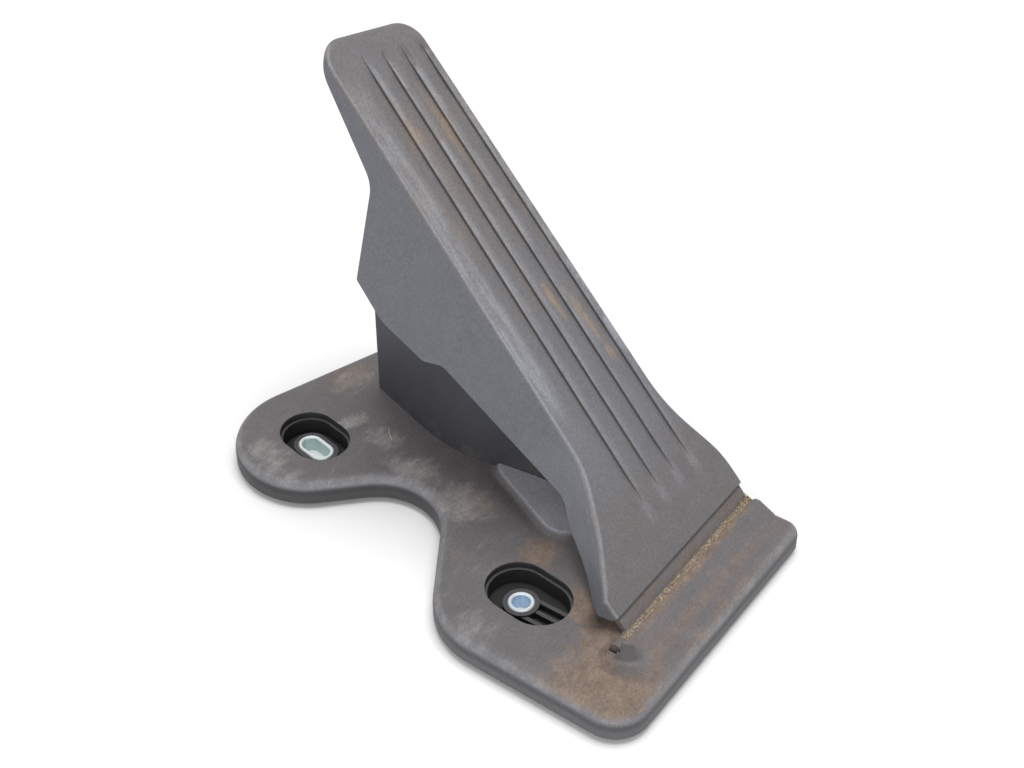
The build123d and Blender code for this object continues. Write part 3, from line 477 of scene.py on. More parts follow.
def soilMasks(tree, masks, steps, blends):
    # steps rise softly from 0 to 1 between two values; blends join masks one after another
    for name, (source, low, high) in steps.items():
        masks[name] = addNode(tree, "ShaderNodeMapRange", {"interpolation_type": "SMOOTHSTEP"}, {
            "Value": masks[source], "From Min": low, "From Max": high,
        }).outputs[0]
    for name, operation, parts in blends:
        joined, *others = [masks[part] if isinstance(part, str) else part for part in parts]
        for other in others:
            joined = addNode(tree, "ShaderNodeMath", {"operation": operation}, {
                0: joined, 1: other,
            }).outputs[0]
        masks[name] = joined


patchFade = (1.2, 0.25)     # where a patch starts and where it is full, in its half sizes


def ovalPatches(tree, vector, patches, masks, name):
    # soft ovals: middle and half sizes in mm, turn in degrees, strength in the middle
    spots = []
    for middle, halves, turn, strength in patches:
        local = addNode(tree, "ShaderNodeMapping", {"vector_type": "TEXTURE"}, {
            "Vector": vector,
            "Location": (middle[0] / 1000, middle[1] / 1000, 0),
            "Rotation": (0, 0, math.radians(turn)),
            "Scale": (halves[0] / 1000, halves[1] / 1000, 1.0),
        })
        reach = addNode(tree, "ShaderNodeVectorMath", {"operation": "LENGTH"}, {0: local.outputs[0]})
        spots.append(addNode(tree, "ShaderNodeMapRange", {"interpolation_type": "SMOOTHSTEP"}, {
            "Value": reach.outputs["Value"],
            "From Min": patchFade[0],
            "From Max": patchFade[1],
            "To Max": strength,
        }).outputs[0])
    soilMasks(tree, masks, {}, [(name, "MAXIMUM", spots)])


# Pad: dust in the grooves, rubbed lands and edges, dark grit at the grooves' heads; painted shade in the
# steps, on the guard and at the foot, painted highlight on the left edge

padLook = {
    "colour": "#6d6d72",
    "shade": "#5f5f63",
    "layers": {
        # side: painted shade, drawn darker on the guard's left wall and the pad's hidden back than on the
        # lit face
        "side": ("#5a5c63", "#64666d"),
        # rubbed plastic, and the painted highlight and painted light on the pad's left edges
        "wornAndHighlight": ("#898b91", "#9fa1a7"),
        "dust": ("#665a52", "#7f736a"),
        "tan": ("#867158", "#aa9375"),
        # dark grit, and painted shade in the steps, the crease and at the foot
        "grimeAndShade": ("#262527", "#333234"),
    },
    "edge": (0.0, -0.0402, 0.021),      # lower edge of the face
    "slope": 48.7,
    "grooves": (0.022, 0.2055),         # how far up the face they run
    "firstStep": (0.04175, 0.04405),    # X of the first step at those two heights
    "pitch": (0.010567, 0.008867),
    "leftEdge": (0.0264, 0.0295),       # X of the face's edges above its foot and at its top
    "rightEdge": (0.0772, 0.0741),
    "edgeSpan": (0.058, 0.2247),
    "topSlant": 0.2309,
    "lastStep": 3.0,
    "patchSize": 14.0,
    "streakSize": 3.0,
    "streakStretch": 0.12,
    # tan dust caught in the grooves: across and along the face
    "tanSpots": [
        ((58, 101), (2.3, 11), 4, 0.95),
        ((66.5, 90), (2.8, 16), 6, 0.85),
        ((68, 73), (2.2, 5), 4, 0.95),
        ((37.5, 148), (1.8, 16), 2, 0.5),
        ((46, 172), (3, 20), 3, 0.5),
        ((60, 172), (3.5, 22), 3, 0.6),
    ],
}

padMaterial, padTree, padPlace, padLayers = nylon("mouldedNylonPad", padLook)
onFace = addNode(padTree, "ShaderNodeMapping", {"vector_type": "TEXTURE"}, {
    "Vector": padPlace.outputs["Object"],
    "Location": padLook["edge"],
    "Rotation": (math.radians(padLook["slope"]), 0, 0),
})
faceAxes = addNode(padTree, "ShaderNodeSeparateXYZ", None, {"Vector": onFace.outputs[0]})
padNormal = addNode(padTree, "ShaderNodeSeparateXYZ", None, {"Vector": padPlace.outputs["Normal"]})
padPatches = addNode(padTree, "ShaderNodeTexNoise", None, {
    "Vector": onFace.outputs[0], "Scale": 1000 / padLook["patchSize"], "Detail": 8.0, "Roughness": 0.7,
})
longWay = addNode(padTree, "ShaderNodeMapping", None, {
    "Vector": onFace.outputs[0], "Scale": (1, padLook["streakStretch"], 1),
})
padStreaks = addNode(padTree, "ShaderNodeTexNoise", None, {
    "Vector": longWay.outputs[0], "Scale": 1000 / padLook["streakSize"], "Detail": 6.0, "Roughness": 0.65,
})
padMasks = {
    "across": faceAxes.outputs[0],
    "along": faceAxes.outputs[1],
    "proud": faceAxes.outputs[2],
    "leftward": padNormal.outputs[0],
    "patchNoise": padPatches.outputs["Fac"],
    "streakNoise": padStreaks.outputs["Fac"],
}
# where the grooves and the edges are at each height up the face
for lineName, ends, span in (
    ("firstStep", padLook["firstStep"], padLook["grooves"]),
    ("pitch", padLook["pitch"], padLook["grooves"]),
    ("leftEdge", padLook["leftEdge"], padLook["edgeSpan"]),
    ("rightEdge", padLook["rightEdge"], padLook["edgeSpan"]),
):
    padMasks[lineName] = addNode(padTree, "ShaderNodeMapRange", {"clamp": False}, {
        "Value": padMasks["along"],
        "From Min": span[0],
        "From Max": span[1],
        "To Min": ends[0],
        "To Max": ends[1],
    }).outputs[0]
soilMasks(padTree, padMasks, {}, [
    ("fromFirst", "SUBTRACT", ["across", "firstStep"]),
    ("stepCount", "DIVIDE", ["fromFirst", "pitch"]),
    ("stepFloor", "MAXIMUM", ["stepCount", 0.0]),
    ("stepLimit", "MINIMUM", ["stepFloor", padLook["lastStep"]]),
])
nearStep = addNode(padTree, "ShaderNodeMath", {"operation": "ROUND"}, {0: padMasks["stepLimit"]})
padMasks["nearStep"] = nearStep.outputs[0]
soilMasks(padTree, padMasks, {}, [
    ("stepPart", "SUBTRACT", ["stepCount", "nearStep"]),
    ("pastStep", "MULTIPLY", ["stepPart", "pitch"]),
    ("slant", "MULTIPLY", ["across", padLook["topSlant"]]),
    ("fromTop", "ADD", ["slant", "along"]),
    ("fromLeft", "SUBTRACT", ["across", "leftEdge"]),
    ("fromRight", "SUBTRACT", ["rightEdge", "across"]),
])
offStep = addNode(padTree, "ShaderNodeMath", {"operation": "ABSOLUTE"}, {0: padMasks["pastStep"]})
padMasks["offStep"] = offStep.outputs[0]
ovalPatches(padTree, onFace.outputs[0], padLook["tanSpots"], padMasks, "tanSpots")

soilMasks(padTree, padMasks, {
    "face": ("proud", -0.0034, -0.0018),
    "grooveStart": ("along", 0.02, 0.034),
    "grooveEnd": ("fromTop", 0.222, 0.212),
    "inGroove": ("pastStep", -0.0068, -0.0004),
    "beforeStep": ("pastStep", 0.0002, 0.0),
    "onLand": ("pastStep", 0.0042, 0.0006),
    "afterStep": ("pastStep", 0.0001, 0.0004),
    "stepLine": ("offStep", 0.0003, 0.0001),
    "upper": ("along", 0.05, 0.16),
    "top": ("along", 0.07, 0.17),
    "leftBand": ("fromLeft", 0.0105, 0.0055),
    "leftRim": ("fromLeft", 0.0002, 0.002),
    "offLeft": ("fromLeft", 0.003, 0.009),
    "rightBand": ("fromRight", 0.0065, 0.0015),
    "aboveFoot": ("along", 0.05, 0.085),
    "onFoot": ("along", 0.05, 0.022),
    "footCorner": ("along", 0.022, 0.006),
    "flareSide": ("along", 0.075, 0.035),
    "belowTop": ("fromTop", 0.219, 0.204),
    "patches": ("patchNoise", 0.42, 0.62),
    "finePatches": ("patchNoise", 0.46, 0.56),
    "streaks": ("streakNoise", 0.4, 0.62),
    "leftSide": ("leftward", -0.55, -0.85),
    "leftCorner": ("leftward", -0.12, -0.35),
    "cornerEnd": ("leftward", -0.85, -0.6),
    "behind": ("proud", -0.004, -0.006),
    "grooveFoot": ("along", 0.012, 0.02),
    "grooveFootEnd": ("along", 0.03, 0.022),
    "nearFoot": ("offStep", 0.0032, 0.0008),
    "grooveHead": ("fromTop", 0.207, 0.2155),
    "grooveHeadEnd": ("fromTop", 0.2245, 0.2175),
    "belowEdge": ("along", 0.0012, -0.0008),
    "crease": ("along", -0.0026, -0.0006),
}, [
    ("grooveSpan", "MULTIPLY", ["face", "grooveStart", "grooveEnd"]),
    ("upperTint", "MULTIPLY", ["upper", 0.6]),
    ("grooveTint", "ADD", ["upperTint", 0.3]),
    ("patchPart", "MULTIPLY", ["patches", 0.55]),
    ("patchTint", "ADD", ["patchPart", 0.45]),
    ("streakPart", "MULTIPLY", ["streaks", 0.6]),
    ("streakTint", "ADD", ["streakPart", 0.4]),
    # brown dust lies before each step and as a veil on the upper half
    ("grooveDust", "MULTIPLY", [
        "grooveSpan", "inGroove", "beforeStep", "grooveTint", "patchTint", "streakTint",
    ]),
    ("veilDust", "MULTIPLY", ["face", "top", "belowTop", "offLeft", "patchTint", 0.5]),
    ("headDust", "MULTIPLY", ["face", "top", "patchTint", 0.38]),
    # over the face's foot the dust colour also darkens it, as painted shade
    ("footDust", "MULTIPLY", ["face", "onFoot", "patchTint", 0.4]),
    ("webDust", "MULTIPLY", ["belowEdge", "patchTint", 0.75]),
    ("dust", "MAXIMUM", ["grooveDust", "veilDust", "headDust", "footDust", "webDust"]),
    ("tan", "MULTIPLY", ["face", "tanSpots", "streakTint", "patchTint"]),
    # rubbed plastic on the land after each step, both margins and the grooves' lower ends; a painted
    # highlight on the rounded left corner, and painted light on the flare's side
    ("landWear", "MULTIPLY", ["grooveSpan", "onLand", "afterStep", "streakTint", "grooveTint"]),
    ("leftWear", "MULTIPLY", ["face", "leftBand", "leftRim", "aboveFoot", "belowTop", "streakTint", 0.7]),
    ("rightWear", "MULTIPLY", ["face", "rightBand", "aboveFoot", "belowTop", "finePatches", 0.8]),
    ("edgeHighlight", "MULTIPLY", ["leftCorner", "cornerEnd", 0.5]),
    ("footWear", "MULTIPLY", ["face", "grooveFoot", "grooveFootEnd", "nearFoot", "patchTint", 0.55]),
    ("flareSideLight", "MULTIPLY", ["flareSide", "leftCorner", 0.3]),
    ("wornAndHighlight", "MAXIMUM", ["landWear", "leftWear", "rightWear", "edgeHighlight", "footWear", "flareSideLight"]),
    # painted shade on the guard's left wall and on the pad's hidden back, lifted on the flare's side
    ("flareLight", "MULTIPLY", ["flareSide", 0.85]),
    ("sideLeft", "SUBTRACT", [1.0, "flareLight"]),
    ("sideTint", "MULTIPLY", ["leftSide", "sideLeft"]),
    ("side", "MAXIMUM", ["sideTint", "behind"]),
    # dark grit at the grooves' heads; painted shade along the steps, in the crease over the hinge, at the
    # foot of the flare's side and over the face's foot
    ("stepShade", "MULTIPLY", ["grooveSpan", "stepLine", 0.55]),
    ("headGrime", "MULTIPLY", ["face", "grooveHead", "grooveHeadEnd", "nearFoot", "patches", 0.5]),
    ("creaseShade", "MULTIPLY", ["belowEdge", "crease", 0.6]),
    ("flareFootShade", "MULTIPLY", ["leftSide", "footCorner", 0.5]),
    ("footShade", "MULTIPLY", ["face", "onFoot", 0.17]),
    ("grimeAndShade", "MAXIMUM", ["stepShade", "headGrime", "creaseShade", "flareFootShade", "footShade"]),
])
for layer in padLook["layers"]:
    padTree.links.new(padMasks[layer], padLayers[layer])
padTree.links.new(padMasks["dust"], padLayers["gloss"])
dress("pedal_pad", padMaterial)
print("stage: pad")


# Base plate: patches of brown dust, wiped pale smears at the rear, painted shade in the dark pockets and on
# the walls, painted light on the ramp's top

baseLook = {
    "colour": "#686568",
    "shade": "#575456",
    "layers": {
        # side: painted shade on the outer walls, darkest just under the rolled rim
        "side": ("#3b3b3e", "#48484b"),
        # rubbed plastic, and a painted highlight on the rim's crest
        "wornAndHighlight": ("#7a7b80", "#8f9095"),
        # painted light on the ramp's top, which lies in the pad's shadow
        "ramp": ("#a3a3ab", "#b2b2ba"),
        "smear": ("#7a7674", "#a5a1a0"),
        "dust": ("#645448", "#928072"),
        # painted shade: the pockets, the walls at the rear, the ramp's slope, the ridge's end and the
        # patches near the pad
        "grimeAndShade": ("#141517", "#1c1d1f"),
    },
    "smudgeSize": 9.0,
    "wipeFiner": 1.6,
    "wipeTurn": 35,
    "wipeStretch": 0.35,
    "dragSize": 6.0,
    "dragStretch": 0.1,
    "speckSize": 7.0,
    "drift": 0.02,                      # how far the noise pulls the edges of the patches about
    "pockets": [((0.3, -3.2), (18.0, 13.0), 84.0, 1.0), ((20.8, 115.8), (16.0, 12.0), 79.8, 1.0)],
    # middle, half sizes, turn and strength of each patch
    "brown": [
        ((-19, -49), (30, 24), 0, 1.0),
        ((30, -66), (50, 6), 0, 0.5),
        ((-2, -36), (13, 10), 0, 1.0),
        ((5, -24), (8, 16), -38, 1.0),
        ((19, 5), (11, 12), 30, 0.8),
        ((28, 42), (10, 14), -25, 0.3),
        ((57, 128), (16, 10), 0, 0.5),
    ],
    # what the hinge spills on the ridge behind the lip
    "spilt": [((44, -46.8), (56, 2.6), 0, 0.95)],
    # rubbed clean: the end of the ridge
    "clean": [((-5, -51), (10, 9), 20, 0.9)],
    # painted shade beside the ramp, under the pad's corner, below the bead's end and on the left of the
    # ridge's end
    "paintedShade": [
        ((34.5, 28), (4, 24), -24, 0.25),
        ((2.5, -31), (6, 6), 0, 0.55),
        ((-6, -41), (5, 2.2), 0, 0.4),
        ((-11, -50), (4.5, 9), 8, 0.28),
    ],
    "smears": [
        ((1, 124), (9, 16), -20, 0.7),
        ((-2, 108), (9, 6), 10, 0.45),
        ((57, 126), (14, 9), 0, 0.6),
        ((37, 109), (12, 5), -40, 0.8),
        ((35, 92), (9, 9), 10, 0.65),
        ((28, 72), (9, 14), 10, 0.8),
        ((-24, 3), (10, 12), 0, 0.45),
        ((24, 45), (12, 18), 0, 0.75),
    ],
}

baseMaterial, baseTree, basePlace, baseLayers = nylon("mouldedNylonBase", baseLook)
baseAxes = addNode(baseTree, "ShaderNodeSeparateXYZ", None, {"Vector": basePlace.outputs["Object"]})
baseNormal = addNode(baseTree, "ShaderNodeSeparateXYZ", None, {"Vector": basePlace.outputs["Normal"]})
smudges = addNode(baseTree, "ShaderNodeTexNoise", None, {
    "Vector": basePlace.outputs["Object"],
    "Scale": 1000 / baseLook["smudgeSize"],
    "Detail": 10.0,
    "Roughness": 0.74,
    "Distortion": 0.7,
})
wiped = addNode(baseTree, "ShaderNodeMapping", None, {
    "Vector": basePlace.outputs["Object"],
    "Rotation": (0, 0, math.radians(baseLook["wipeTurn"])),
    "Scale": (baseLook["wipeStretch"], 1, 1),
})
wipes = addNode(baseTree, "ShaderNodeTexNoise", None, {
    "Vector": wiped.outputs[0],
    "Scale": 1000 / baseLook["smudgeSize"] * baseLook["wipeFiner"],
    "Detail": 9.0,
    "Roughness": 0.68,
})
dragged = addNode(baseTree, "ShaderNodeMapping", None, {
    "Vector": basePlace.outputs["Object"], "Scale": (baseLook["dragStretch"], 1, 1),
})
drags = addNode(baseTree, "ShaderNodeTexNoise", None, {
    "Vector": dragged.outputs[0], "Scale": 1000 / baseLook["dragSize"], "Detail": 7.0, "Roughness": 0.65,
})
drift = addNode(baseTree, "ShaderNodeVectorMath", {"operation": "SCALE"}, {
    0: smudges.outputs["Color"], "Scale": baseLook["drift"],
})
drifted = addNode(baseTree, "ShaderNodeVectorMath", {"operation": "ADD"}, {
    0: basePlace.outputs["Object"], 1: drift.outputs[0],
})
drifted = addNode(baseTree, "ShaderNodeVectorMath", {"operation": "SUBTRACT"}, {
    0: drifted.outputs[0], 1: (baseLook["drift"] / 2,) * 3,
})
grit = addNode(baseTree, "ShaderNodeTexVoronoi", None, {
    "Vector": basePlace.outputs["Object"], "Scale": 1000 / baseLook["speckSize"],
})
gritPick = addNode(baseTree, "ShaderNodeSeparateColor", None, {"Color": grit.outputs["Color"]})
baseMasks = {
    "height": baseAxes.outputs[2],
    "forward": baseAxes.outputs[1],
    "leftward": baseNormal.outputs[0],
    "upward": baseNormal.outputs[2],
    "smudges": smudges.outputs["Fac"],
    "wipes": wipes.outputs["Fac"],
    "drags": drags.outputs["Fac"],
    "gritReach": grit.outputs["Distance"],
    "gritPick": gritPick.outputs[0],
}
ovalPatches(baseTree, drifted.outputs[0], baseLook["brown"], baseMasks, "brownPatch")
ovalPatches(baseTree, basePlace.outputs["Object"], baseLook["spilt"], baseMasks, "spiltPatch")
ovalPatches(baseTree, drifted.outputs[0], baseLook["smears"], baseMasks, "smearPatch")
ovalPatches(baseTree, basePlace.outputs["Object"], baseLook["pockets"], baseMasks, "pocketNear")
ovalPatches(baseTree, basePlace.outputs["Object"], baseLook["paintedShade"], baseMasks, "paintedShadePatch")
ovalPatches(baseTree, basePlace.outputs["Object"], baseLook["clean"], baseMasks, "cleanPatch")
soilMasks(baseTree, baseMasks, {
    "level": ("upward", 0.5, 0.9),
    "top": ("height", 0.0095, 0.0115),
    "speck": ("gritReach", 0.06, 0.03),
    "pick": ("gritPick", 0.8, 0.82),
    "inPocket": ("pocketNear", 0.02, 0.06),
    "sunk": ("height", 0.0127, 0.0117),
    "raised": ("height", 0.004, 0.005),
    "rim": ("upward", 0.97, 0.78),
    "rimFoot": ("upward", 0.3, 0.55),
    "wall": ("upward", 0.42, 0.1),
    "rearWall": ("forward", 0.02, 0.06),
    "underRoll": ("height", 0.0058, 0.0076),
    "belowTop": ("height", 0.0134, 0.0131),
    "rampSlope": ("upward", 0.985, 0.9),
    "rampFoot": ("height", 0.01303, 0.0133),
    "rampTop": ("height", 0.0138, 0.0148),
    "behindRidge": ("forward", -0.022, -0.016),
    "ridgeSide": ("forward", -0.034, -0.04),
    "leftSlope": ("leftward", -0.03, -0.3),
    "endFoot": ("height", 0.01301, 0.0139),
    "wear": ("wipes", 0.42, 0.6),
    "film": ("smudges", 0.4, 0.65),
    "streaks": ("drags", 0.4, 0.62),
    "beforeRidge": ("forward", -0.05, -0.056),
}, [
    # dust gathers where the noise and the patch together pass a level, so its edges break up
    ("dustPatch", "MAXIMUM", ["brownPatch", "spiltPatch"]),
    ("brownLift", "MULTIPLY", ["dustPatch", 0.55]),
    ("brownSum", "ADD", ["brownLift", "smudges"]),
    ("smearLift", "MULTIPLY", ["smearPatch", 0.5]),
    ("smearSum", "ADD", ["smearLift", "wipes"]),
])
soilMasks(baseTree, baseMasks, {
    "brownCover": ("brownSum", 0.46, 1.08),
    "smearCover": ("smearSum", 0.53, 1.0),
}, [
    ("ground", "MULTIPLY", ["level", "top"]),
    ("dusty", "SUBTRACT", [1.0, "cleanPatch"]),
    ("brownDust", "MULTIPLY", ["brownCover", "ground", "dusty", 0.95]),
    ("veil", "MULTIPLY", ["film", "ground", 0.12]),
    ("specks", "MULTIPLY", ["speck", "pick", "ground", 0.7]),
    ("troughDust", "MULTIPLY", ["streaks", "beforeRidge", "ground", "dusty", 0.4]),
    ("dust", "MAXIMUM", ["brownDust", "veil", "troughDust"]),
    ("smearDust", "MULTIPLY", ["smearCover", "ground", 0.8]),
    ("smear", "MAXIMUM", ["smearDust", "specks"]),
    # the rolled rim: rubbed paler on its crest, which also stands as a painted highlight, and painted shade
    # on the wall just under it
    ("wearPart", "MULTIPLY", ["wear", 0.5]),
    ("wearTint", "ADD", ["wearPart", 0.5]),
    ("wornAndHighlight", "MULTIPLY", ["rim", "rimFoot", "belowTop", "wearTint", 0.62]),
    # painted light on the ramp's top under the pad
    ("ramp", "MULTIPLY", ["rampTop", "behindRidge", "level", 0.9]),
    ("rollPart", "MULTIPLY", ["underRoll", 0.5]),
    ("rollShade", "ADD", ["rollPart", 0.5]),
    ("side", "MULTIPLY", ["wall", "rollShade"]),
    ("shelf", "MULTIPLY", ["level", "raised"]),
    ("shelfLight", "MULTIPLY", ["shelf", 0.5]),
    ("wallShade", "SUBTRACT", [1.0, "shelfLight"]),
    # painted shade in the pockets, on the rear walls, on the ramp's slope, on the left of the ridge's end
    # and in the patches
    ("pocketShade", "MULTIPLY", ["inPocket", "sunk", "wallShade", 0.95]),
    ("paintedShadeLift", "MULTIPLY", ["paintedShadePatch", "ground"]),
    ("rampSlopeShade", "MULTIPLY", ["rampSlope", "rampFoot", "behindRidge", 0.15]),
    ("rearWallShade", "MULTIPLY", ["wall", "rearWall", 0.6]),
    ("ridgeEndShade", "MULTIPLY", ["leftSlope", "endFoot", "ridgeSide", 0.6]),
    ("grimeAndShade", "MAXIMUM", ["pocketShade", "paintedShadeLift", "rampSlopeShade", "rearWallShade", "ridgeEndShade"]),
])
for layer in baseLook["layers"]:
    baseTree.links.new(baseMasks[layer], baseLayers[layer])
baseTree.links.new(baseMasks["dust"], baseLayers["gloss"])
dress("base_plate", baseMaterial)
print("stage: base plate")


# Housing: the same nylon, coloured darker as painted shade under the pad, and cleaner because the pad covers
# it

housingLook = {
    # darker than the pad's nylon, as painted shade for the shade under the pad
    "colour": "#383940",
    "shade": "#2d2e34",
    "layers": {"dust": ("#524a44", "#6c635b")},
    "dustSize": 16.0,
}

housingMaterial, housingTree, housingPlace, housingLayers = nylon("mouldedNylonHousing", housingLook)
housingAxes = addNode(housingTree, "ShaderNodeSeparateXYZ", None, {"Vector": housingPlace.outputs["Object"]})
housingNormal = addNode(housingTree, "ShaderNodeSeparateXYZ", None, {
    "Vector": housingPlace.outputs["Normal"],
})
film = addNode(housingTree, "ShaderNodeTexNoise", None, {
    "Vector": housingPlace.outputs["Object"],
    "Scale": 1000 / housingLook["dustSize"],
    "Detail": 8.0,
    "Roughness": 0.7,
})
housingMasks = {
    "height": housingAxes.outputs[2],
    "upward": housingNormal.outputs[2],
    "filmNoise": film.outputs["Fac"],
}
soilMasks(housingTree, housingMasks, {
    "film": ("filmNoise", 0.45, 0.7),
    "roof": ("upward", 0.3, 0.8),
    "foot": ("height", 0.026, 0.013),
}, [
    ("roofDust", "MULTIPLY", ["film", "roof", 0.5]),
    ("footDust", "MULTIPLY", ["film", "foot", 0.4]),
    ("dust", "MAXIMUM", ["roofDust", "footDust"]),
])
housingTree.links.new(housingMasks["dust"], housingLayers["dust"])
housingTree.links.new(housingMasks["dust"], housingLayers["gloss"])
for nodeName in ("lever_housing", "housing_cover", "sensor_cover", "drive_lever", "magnet_carrier"):
    dress(nodeName, housingMaterial)
print("stage: housing")


# Road sand packed between the hinge bead and the ridge's lip: loose tan grains, each a little different

hingeSand = {
    "colours": ("#6a5c50", "#8e7f70"),
    "paleGrain": "#a29382",
    "palePick": (0.82, 0.86),           # the few grains that are pale
    "roughness": 0.95,
    "bump": 0.4,
    "grainLift": 0.2,
    "grainSize": 0.6,                   # mm, drawn coarser than the real grains so that they show
    "cells": (260, 6),
    "span": (-0.0008, 0.0872),          # X of the ends
    "rows": (-0.0460, -0.0436),         # Y, from the ridge's top to just short of the web
    "beadAxis": (-0.0441094, 0.0135197),
    "beadReach": 0.00268,
    "lip": (-0.0453, 0.01643),          # Y of the lip, and the height of the ridge behind it
    # waves across and along the gap, place in the noise and weight, which make the edges ragged
    "strayWaves": [(420, 90, 3.1, 0.5), (1300, 200, 7.7, 0.3)],
    "strayLimit": 0.2,
    "strayReach": 0.0009,
    "lumpWaves": (200, 300, 0.4),
    "roughWaves": (2600, 2600, 5.2),
    "crownLowest": 0.0161,
    "film": 0.00006,                    # thickness at the edges
    "thickness": 0.00055,
    "lumpRange": (0.35, 0.9),
    "roughRange": (0.6, 0.7),
    "endRun": (0.004, 0.002),           # over which the two ends thin out
}

sandMaterial, sandTree, sandShader, sandPlace = newMaterial("roadSand")
grains = addNode(sandTree, "ShaderNodeTexVoronoi", None, {
    "Vector": sandPlace.outputs["Object"], "Scale": 1000 / hingeSand["grainSize"],
})
grainPick = addNode(sandTree, "ShaderNodeSeparateColor", None, {"Color": grains.outputs["Color"]})
sandTone = addNode(sandTree, "ShaderNodeMix", {"data_type": "RGBA"}, {
    0: grainPick.outputs[0], 6: linear(hingeSand["colours"][0]), 7: linear(hingeSand["colours"][1]),
})
paleGrain = addNode(sandTree, "ShaderNodeMapRange", None, {
    "Value": grainPick.outputs[1],
    "From Min": hingeSand["palePick"][0],
    "From Max": hingeSand["palePick"][1],
})
sandTone = addNode(sandTree, "ShaderNodeMix", {"data_type": "RGBA"}, {
    0: paleGrain.outputs[0], 6: sandTone.outputs[2], 7: linear(hingeSand["paleGrain"]),
})
sandTree.links.new(sandTone.outputs[2], sandShader.inputs["Base Color"])
sandBump = addNode(sandTree, "ShaderNodeBump", {"invert": True}, {
    "Strength": hingeSand["bump"],
    "Distance": hingeSand["grainLift"] / 1000,
    "Height": grains.outputs["Distance"],
})
sandTree.links.new(sandBump.outputs["Normal"], sandShader.inputs["Normal"])
sandShader.inputs["Roughness"].default_value = hingeSand["roughness"]


def heapPart(x, y, waves, span):
    # a smooth random part of the heap's height, from its least up by its range
    across, along, seed = waves
    least, more = span
    return least + more * (noise.noise((x * across, y * along, seed)) * 0.5 + 0.5)


sand = bmesh.new()
bmesh.ops.create_grid(sand, x_segments=hingeSand["cells"][0], y_segments=hingeSand["cells"][1], size=0.5)
left, right = hingeSand["span"]
front, rear = hingeSand["rows"]
for vert in sand.verts:
    x = left + (right - left) * (vert.co.x + 0.5)
    y = front + (rear - front) * (vert.co.y + 0.5)
    # further out on the ridge than at the web
    stray = sum(
        noise.noise((x * across, y * along, seed)) * weight
        for across, along, seed, weight in hingeSand["strayWaves"]
    )
    y += min(stray, hingeSand["strayLimit"]) * hingeSand["strayReach"] * (0.5 - vert.co.y)
    z = hingeSand["lip"][1]
    if y > hingeSand["lip"][0]:
        # past the lip the sand lies on the round of the bead
        offAxis = y - hingeSand["beadAxis"][0]
        z = hingeSand["beadAxis"][1] + math.sqrt(hingeSand["beadReach"] ** 2 - offAxis ** 2)
    vert.co = (x, y, z)
raised = bmesh.ops.extrude_face_region(sand, geom=sand.faces[:], use_keep_orig=True)
crown = [item for item in raised["geom"] if isinstance(item, bmesh.types.BMVert)]
for vert in crown:
    x, y, z = vert.co
    inward = min(y - front, rear - y) / (rear - front) * 2
    endFade = min(1.0, (x - left) / hingeSand["endRun"][0], (right - x) / hingeSand["endRun"][1])
    heap = hingeSand["thickness"] * max(inward, 0) * max(endFade, 0)
    heap *= heapPart(x, y, hingeSand["lumpWaves"], hingeSand["lumpRange"])
    heap *= heapPart(x, y, hingeSand["roughWaves"], hingeSand["roughRange"])
    vert.co.z = max(z, hingeSand["crownLowest"]) + hingeSand["film"] + heap
bmesh.ops.recalc_face_normals(sand, faces=sand.faces)
sandPiece = addPiece("hingeSand", sand, sandMaterial)
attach(sandPiece, "base")
print("stage: sand in the hinge")


# Straw and lint caught at the hinge, and one pale fibre on the plate: dry split stems, matt and yellowish

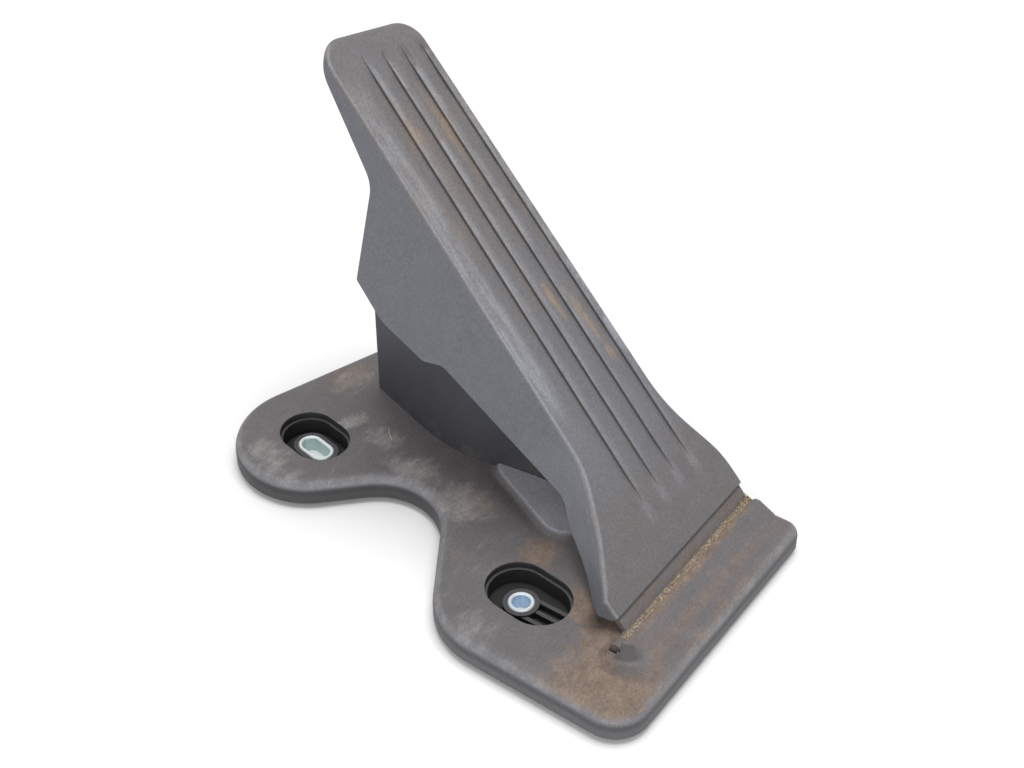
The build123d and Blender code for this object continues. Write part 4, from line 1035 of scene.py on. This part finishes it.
fibreLooks = {
    "straw": {
        "body": "base", "colours": ("#85754c", "#b3a373"), "radius": 0.00014,
        # middle, length and heading of each stem, how far it bends and how steeply it lies
        "stems": [
            ((0.0852, -0.0447, 0.0175), 0.0062, 20, 40, 4),
            ((0.0838, -0.0452, 0.0173), 0.0048, -28, 30, 2),
            ((0.0864, -0.0449, 0.0178), 0.0040, 62, 25, 10),
            ((0.0812, -0.0449, 0.0172), 0.0052, 8, 45, 2),
            ((0.0705, -0.0450, 0.0172), 0.0056, -38, 30, 2),
            ((0.0600, -0.0448, 0.0172), 0.0040, 15, 35, 2),
            ((0.0330, -0.0451, 0.0172), 0.0044, -20, 35, 2),
        ],
    },
    "lint": {
        "body": "base", "colours": ("#b9b3a6", "#dcd8cc"), "radius": 0.00012,
        "stems": [((0.0390, 0.0922, 0.01318), 0.0075, 216, 24, 0)],
    },
}

fibreMake = {"bandSize": 0.9, "roughness": 0.8, "sides": 6, "steps": 8}

for pieceName, look in fibreLooks.items():
    material, tree, shader, place = newMaterial(pieceName + "Fibre")
    bands = addNode(tree, "ShaderNodeTexNoise", None, {
        "Vector": place.outputs["Object"], "Scale": 1000 / fibreMake["bandSize"], "Detail": 3.0,
    })
    stemTone = addNode(tree, "ShaderNodeMix", {"data_type": "RGBA"}, {
        0: bands.outputs["Fac"], 6: linear(look["colours"][0]), 7: linear(look["colours"][1]),
    })
    tree.links.new(stemTone.outputs[2], shader.inputs["Base Color"])
    shader.inputs["Roughness"].default_value = fibreMake["roughness"]
    stems = bmesh.new()
    for middle, length, heading, bend, rise in look["stems"]:
        stem = bmesh.new()
        bmesh.ops.create_circle(
            stem, cap_ends=True, segments=fibreMake["sides"], radius=look["radius"],
            matrix=Matrix.Rotation(math.radians(90), 4, "Y"),
        )
        arc = math.radians(bend)
        bmesh.ops.spin(
            stem, geom=stem.verts[:] + stem.edges[:] + stem.faces[:], cent=(0, length / arc, 0),
            axis=(0, 0, 1), angle=arc, steps=fibreMake["steps"],
        )
        closeTube(stem)
        # the bow's own middle comes to the origin before it is turned and placed
        bmesh.ops.translate(stem, verts=stem.verts, vec=(-length / 2, -length * arc / 8, 0))
        turn = Matrix.Rotation(math.radians(heading), 4, "Z") @ Matrix.Rotation(math.radians(-rise), 4, "Y")
        bmesh.ops.transform(stem, verts=stem.verts, matrix=Matrix.Translation(middle) @ turn)
        stemMesh = bpy.data.meshes.new("stem")
        stem.to_mesh(stemMesh)
        stem.free()
        stems.from_mesh(stemMesh)
        bpy.data.meshes.remove(stemMesh)
    piece = addPiece(pieceName, stems, material)
    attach(piece, look["body"])
print("stage: straw and lint")
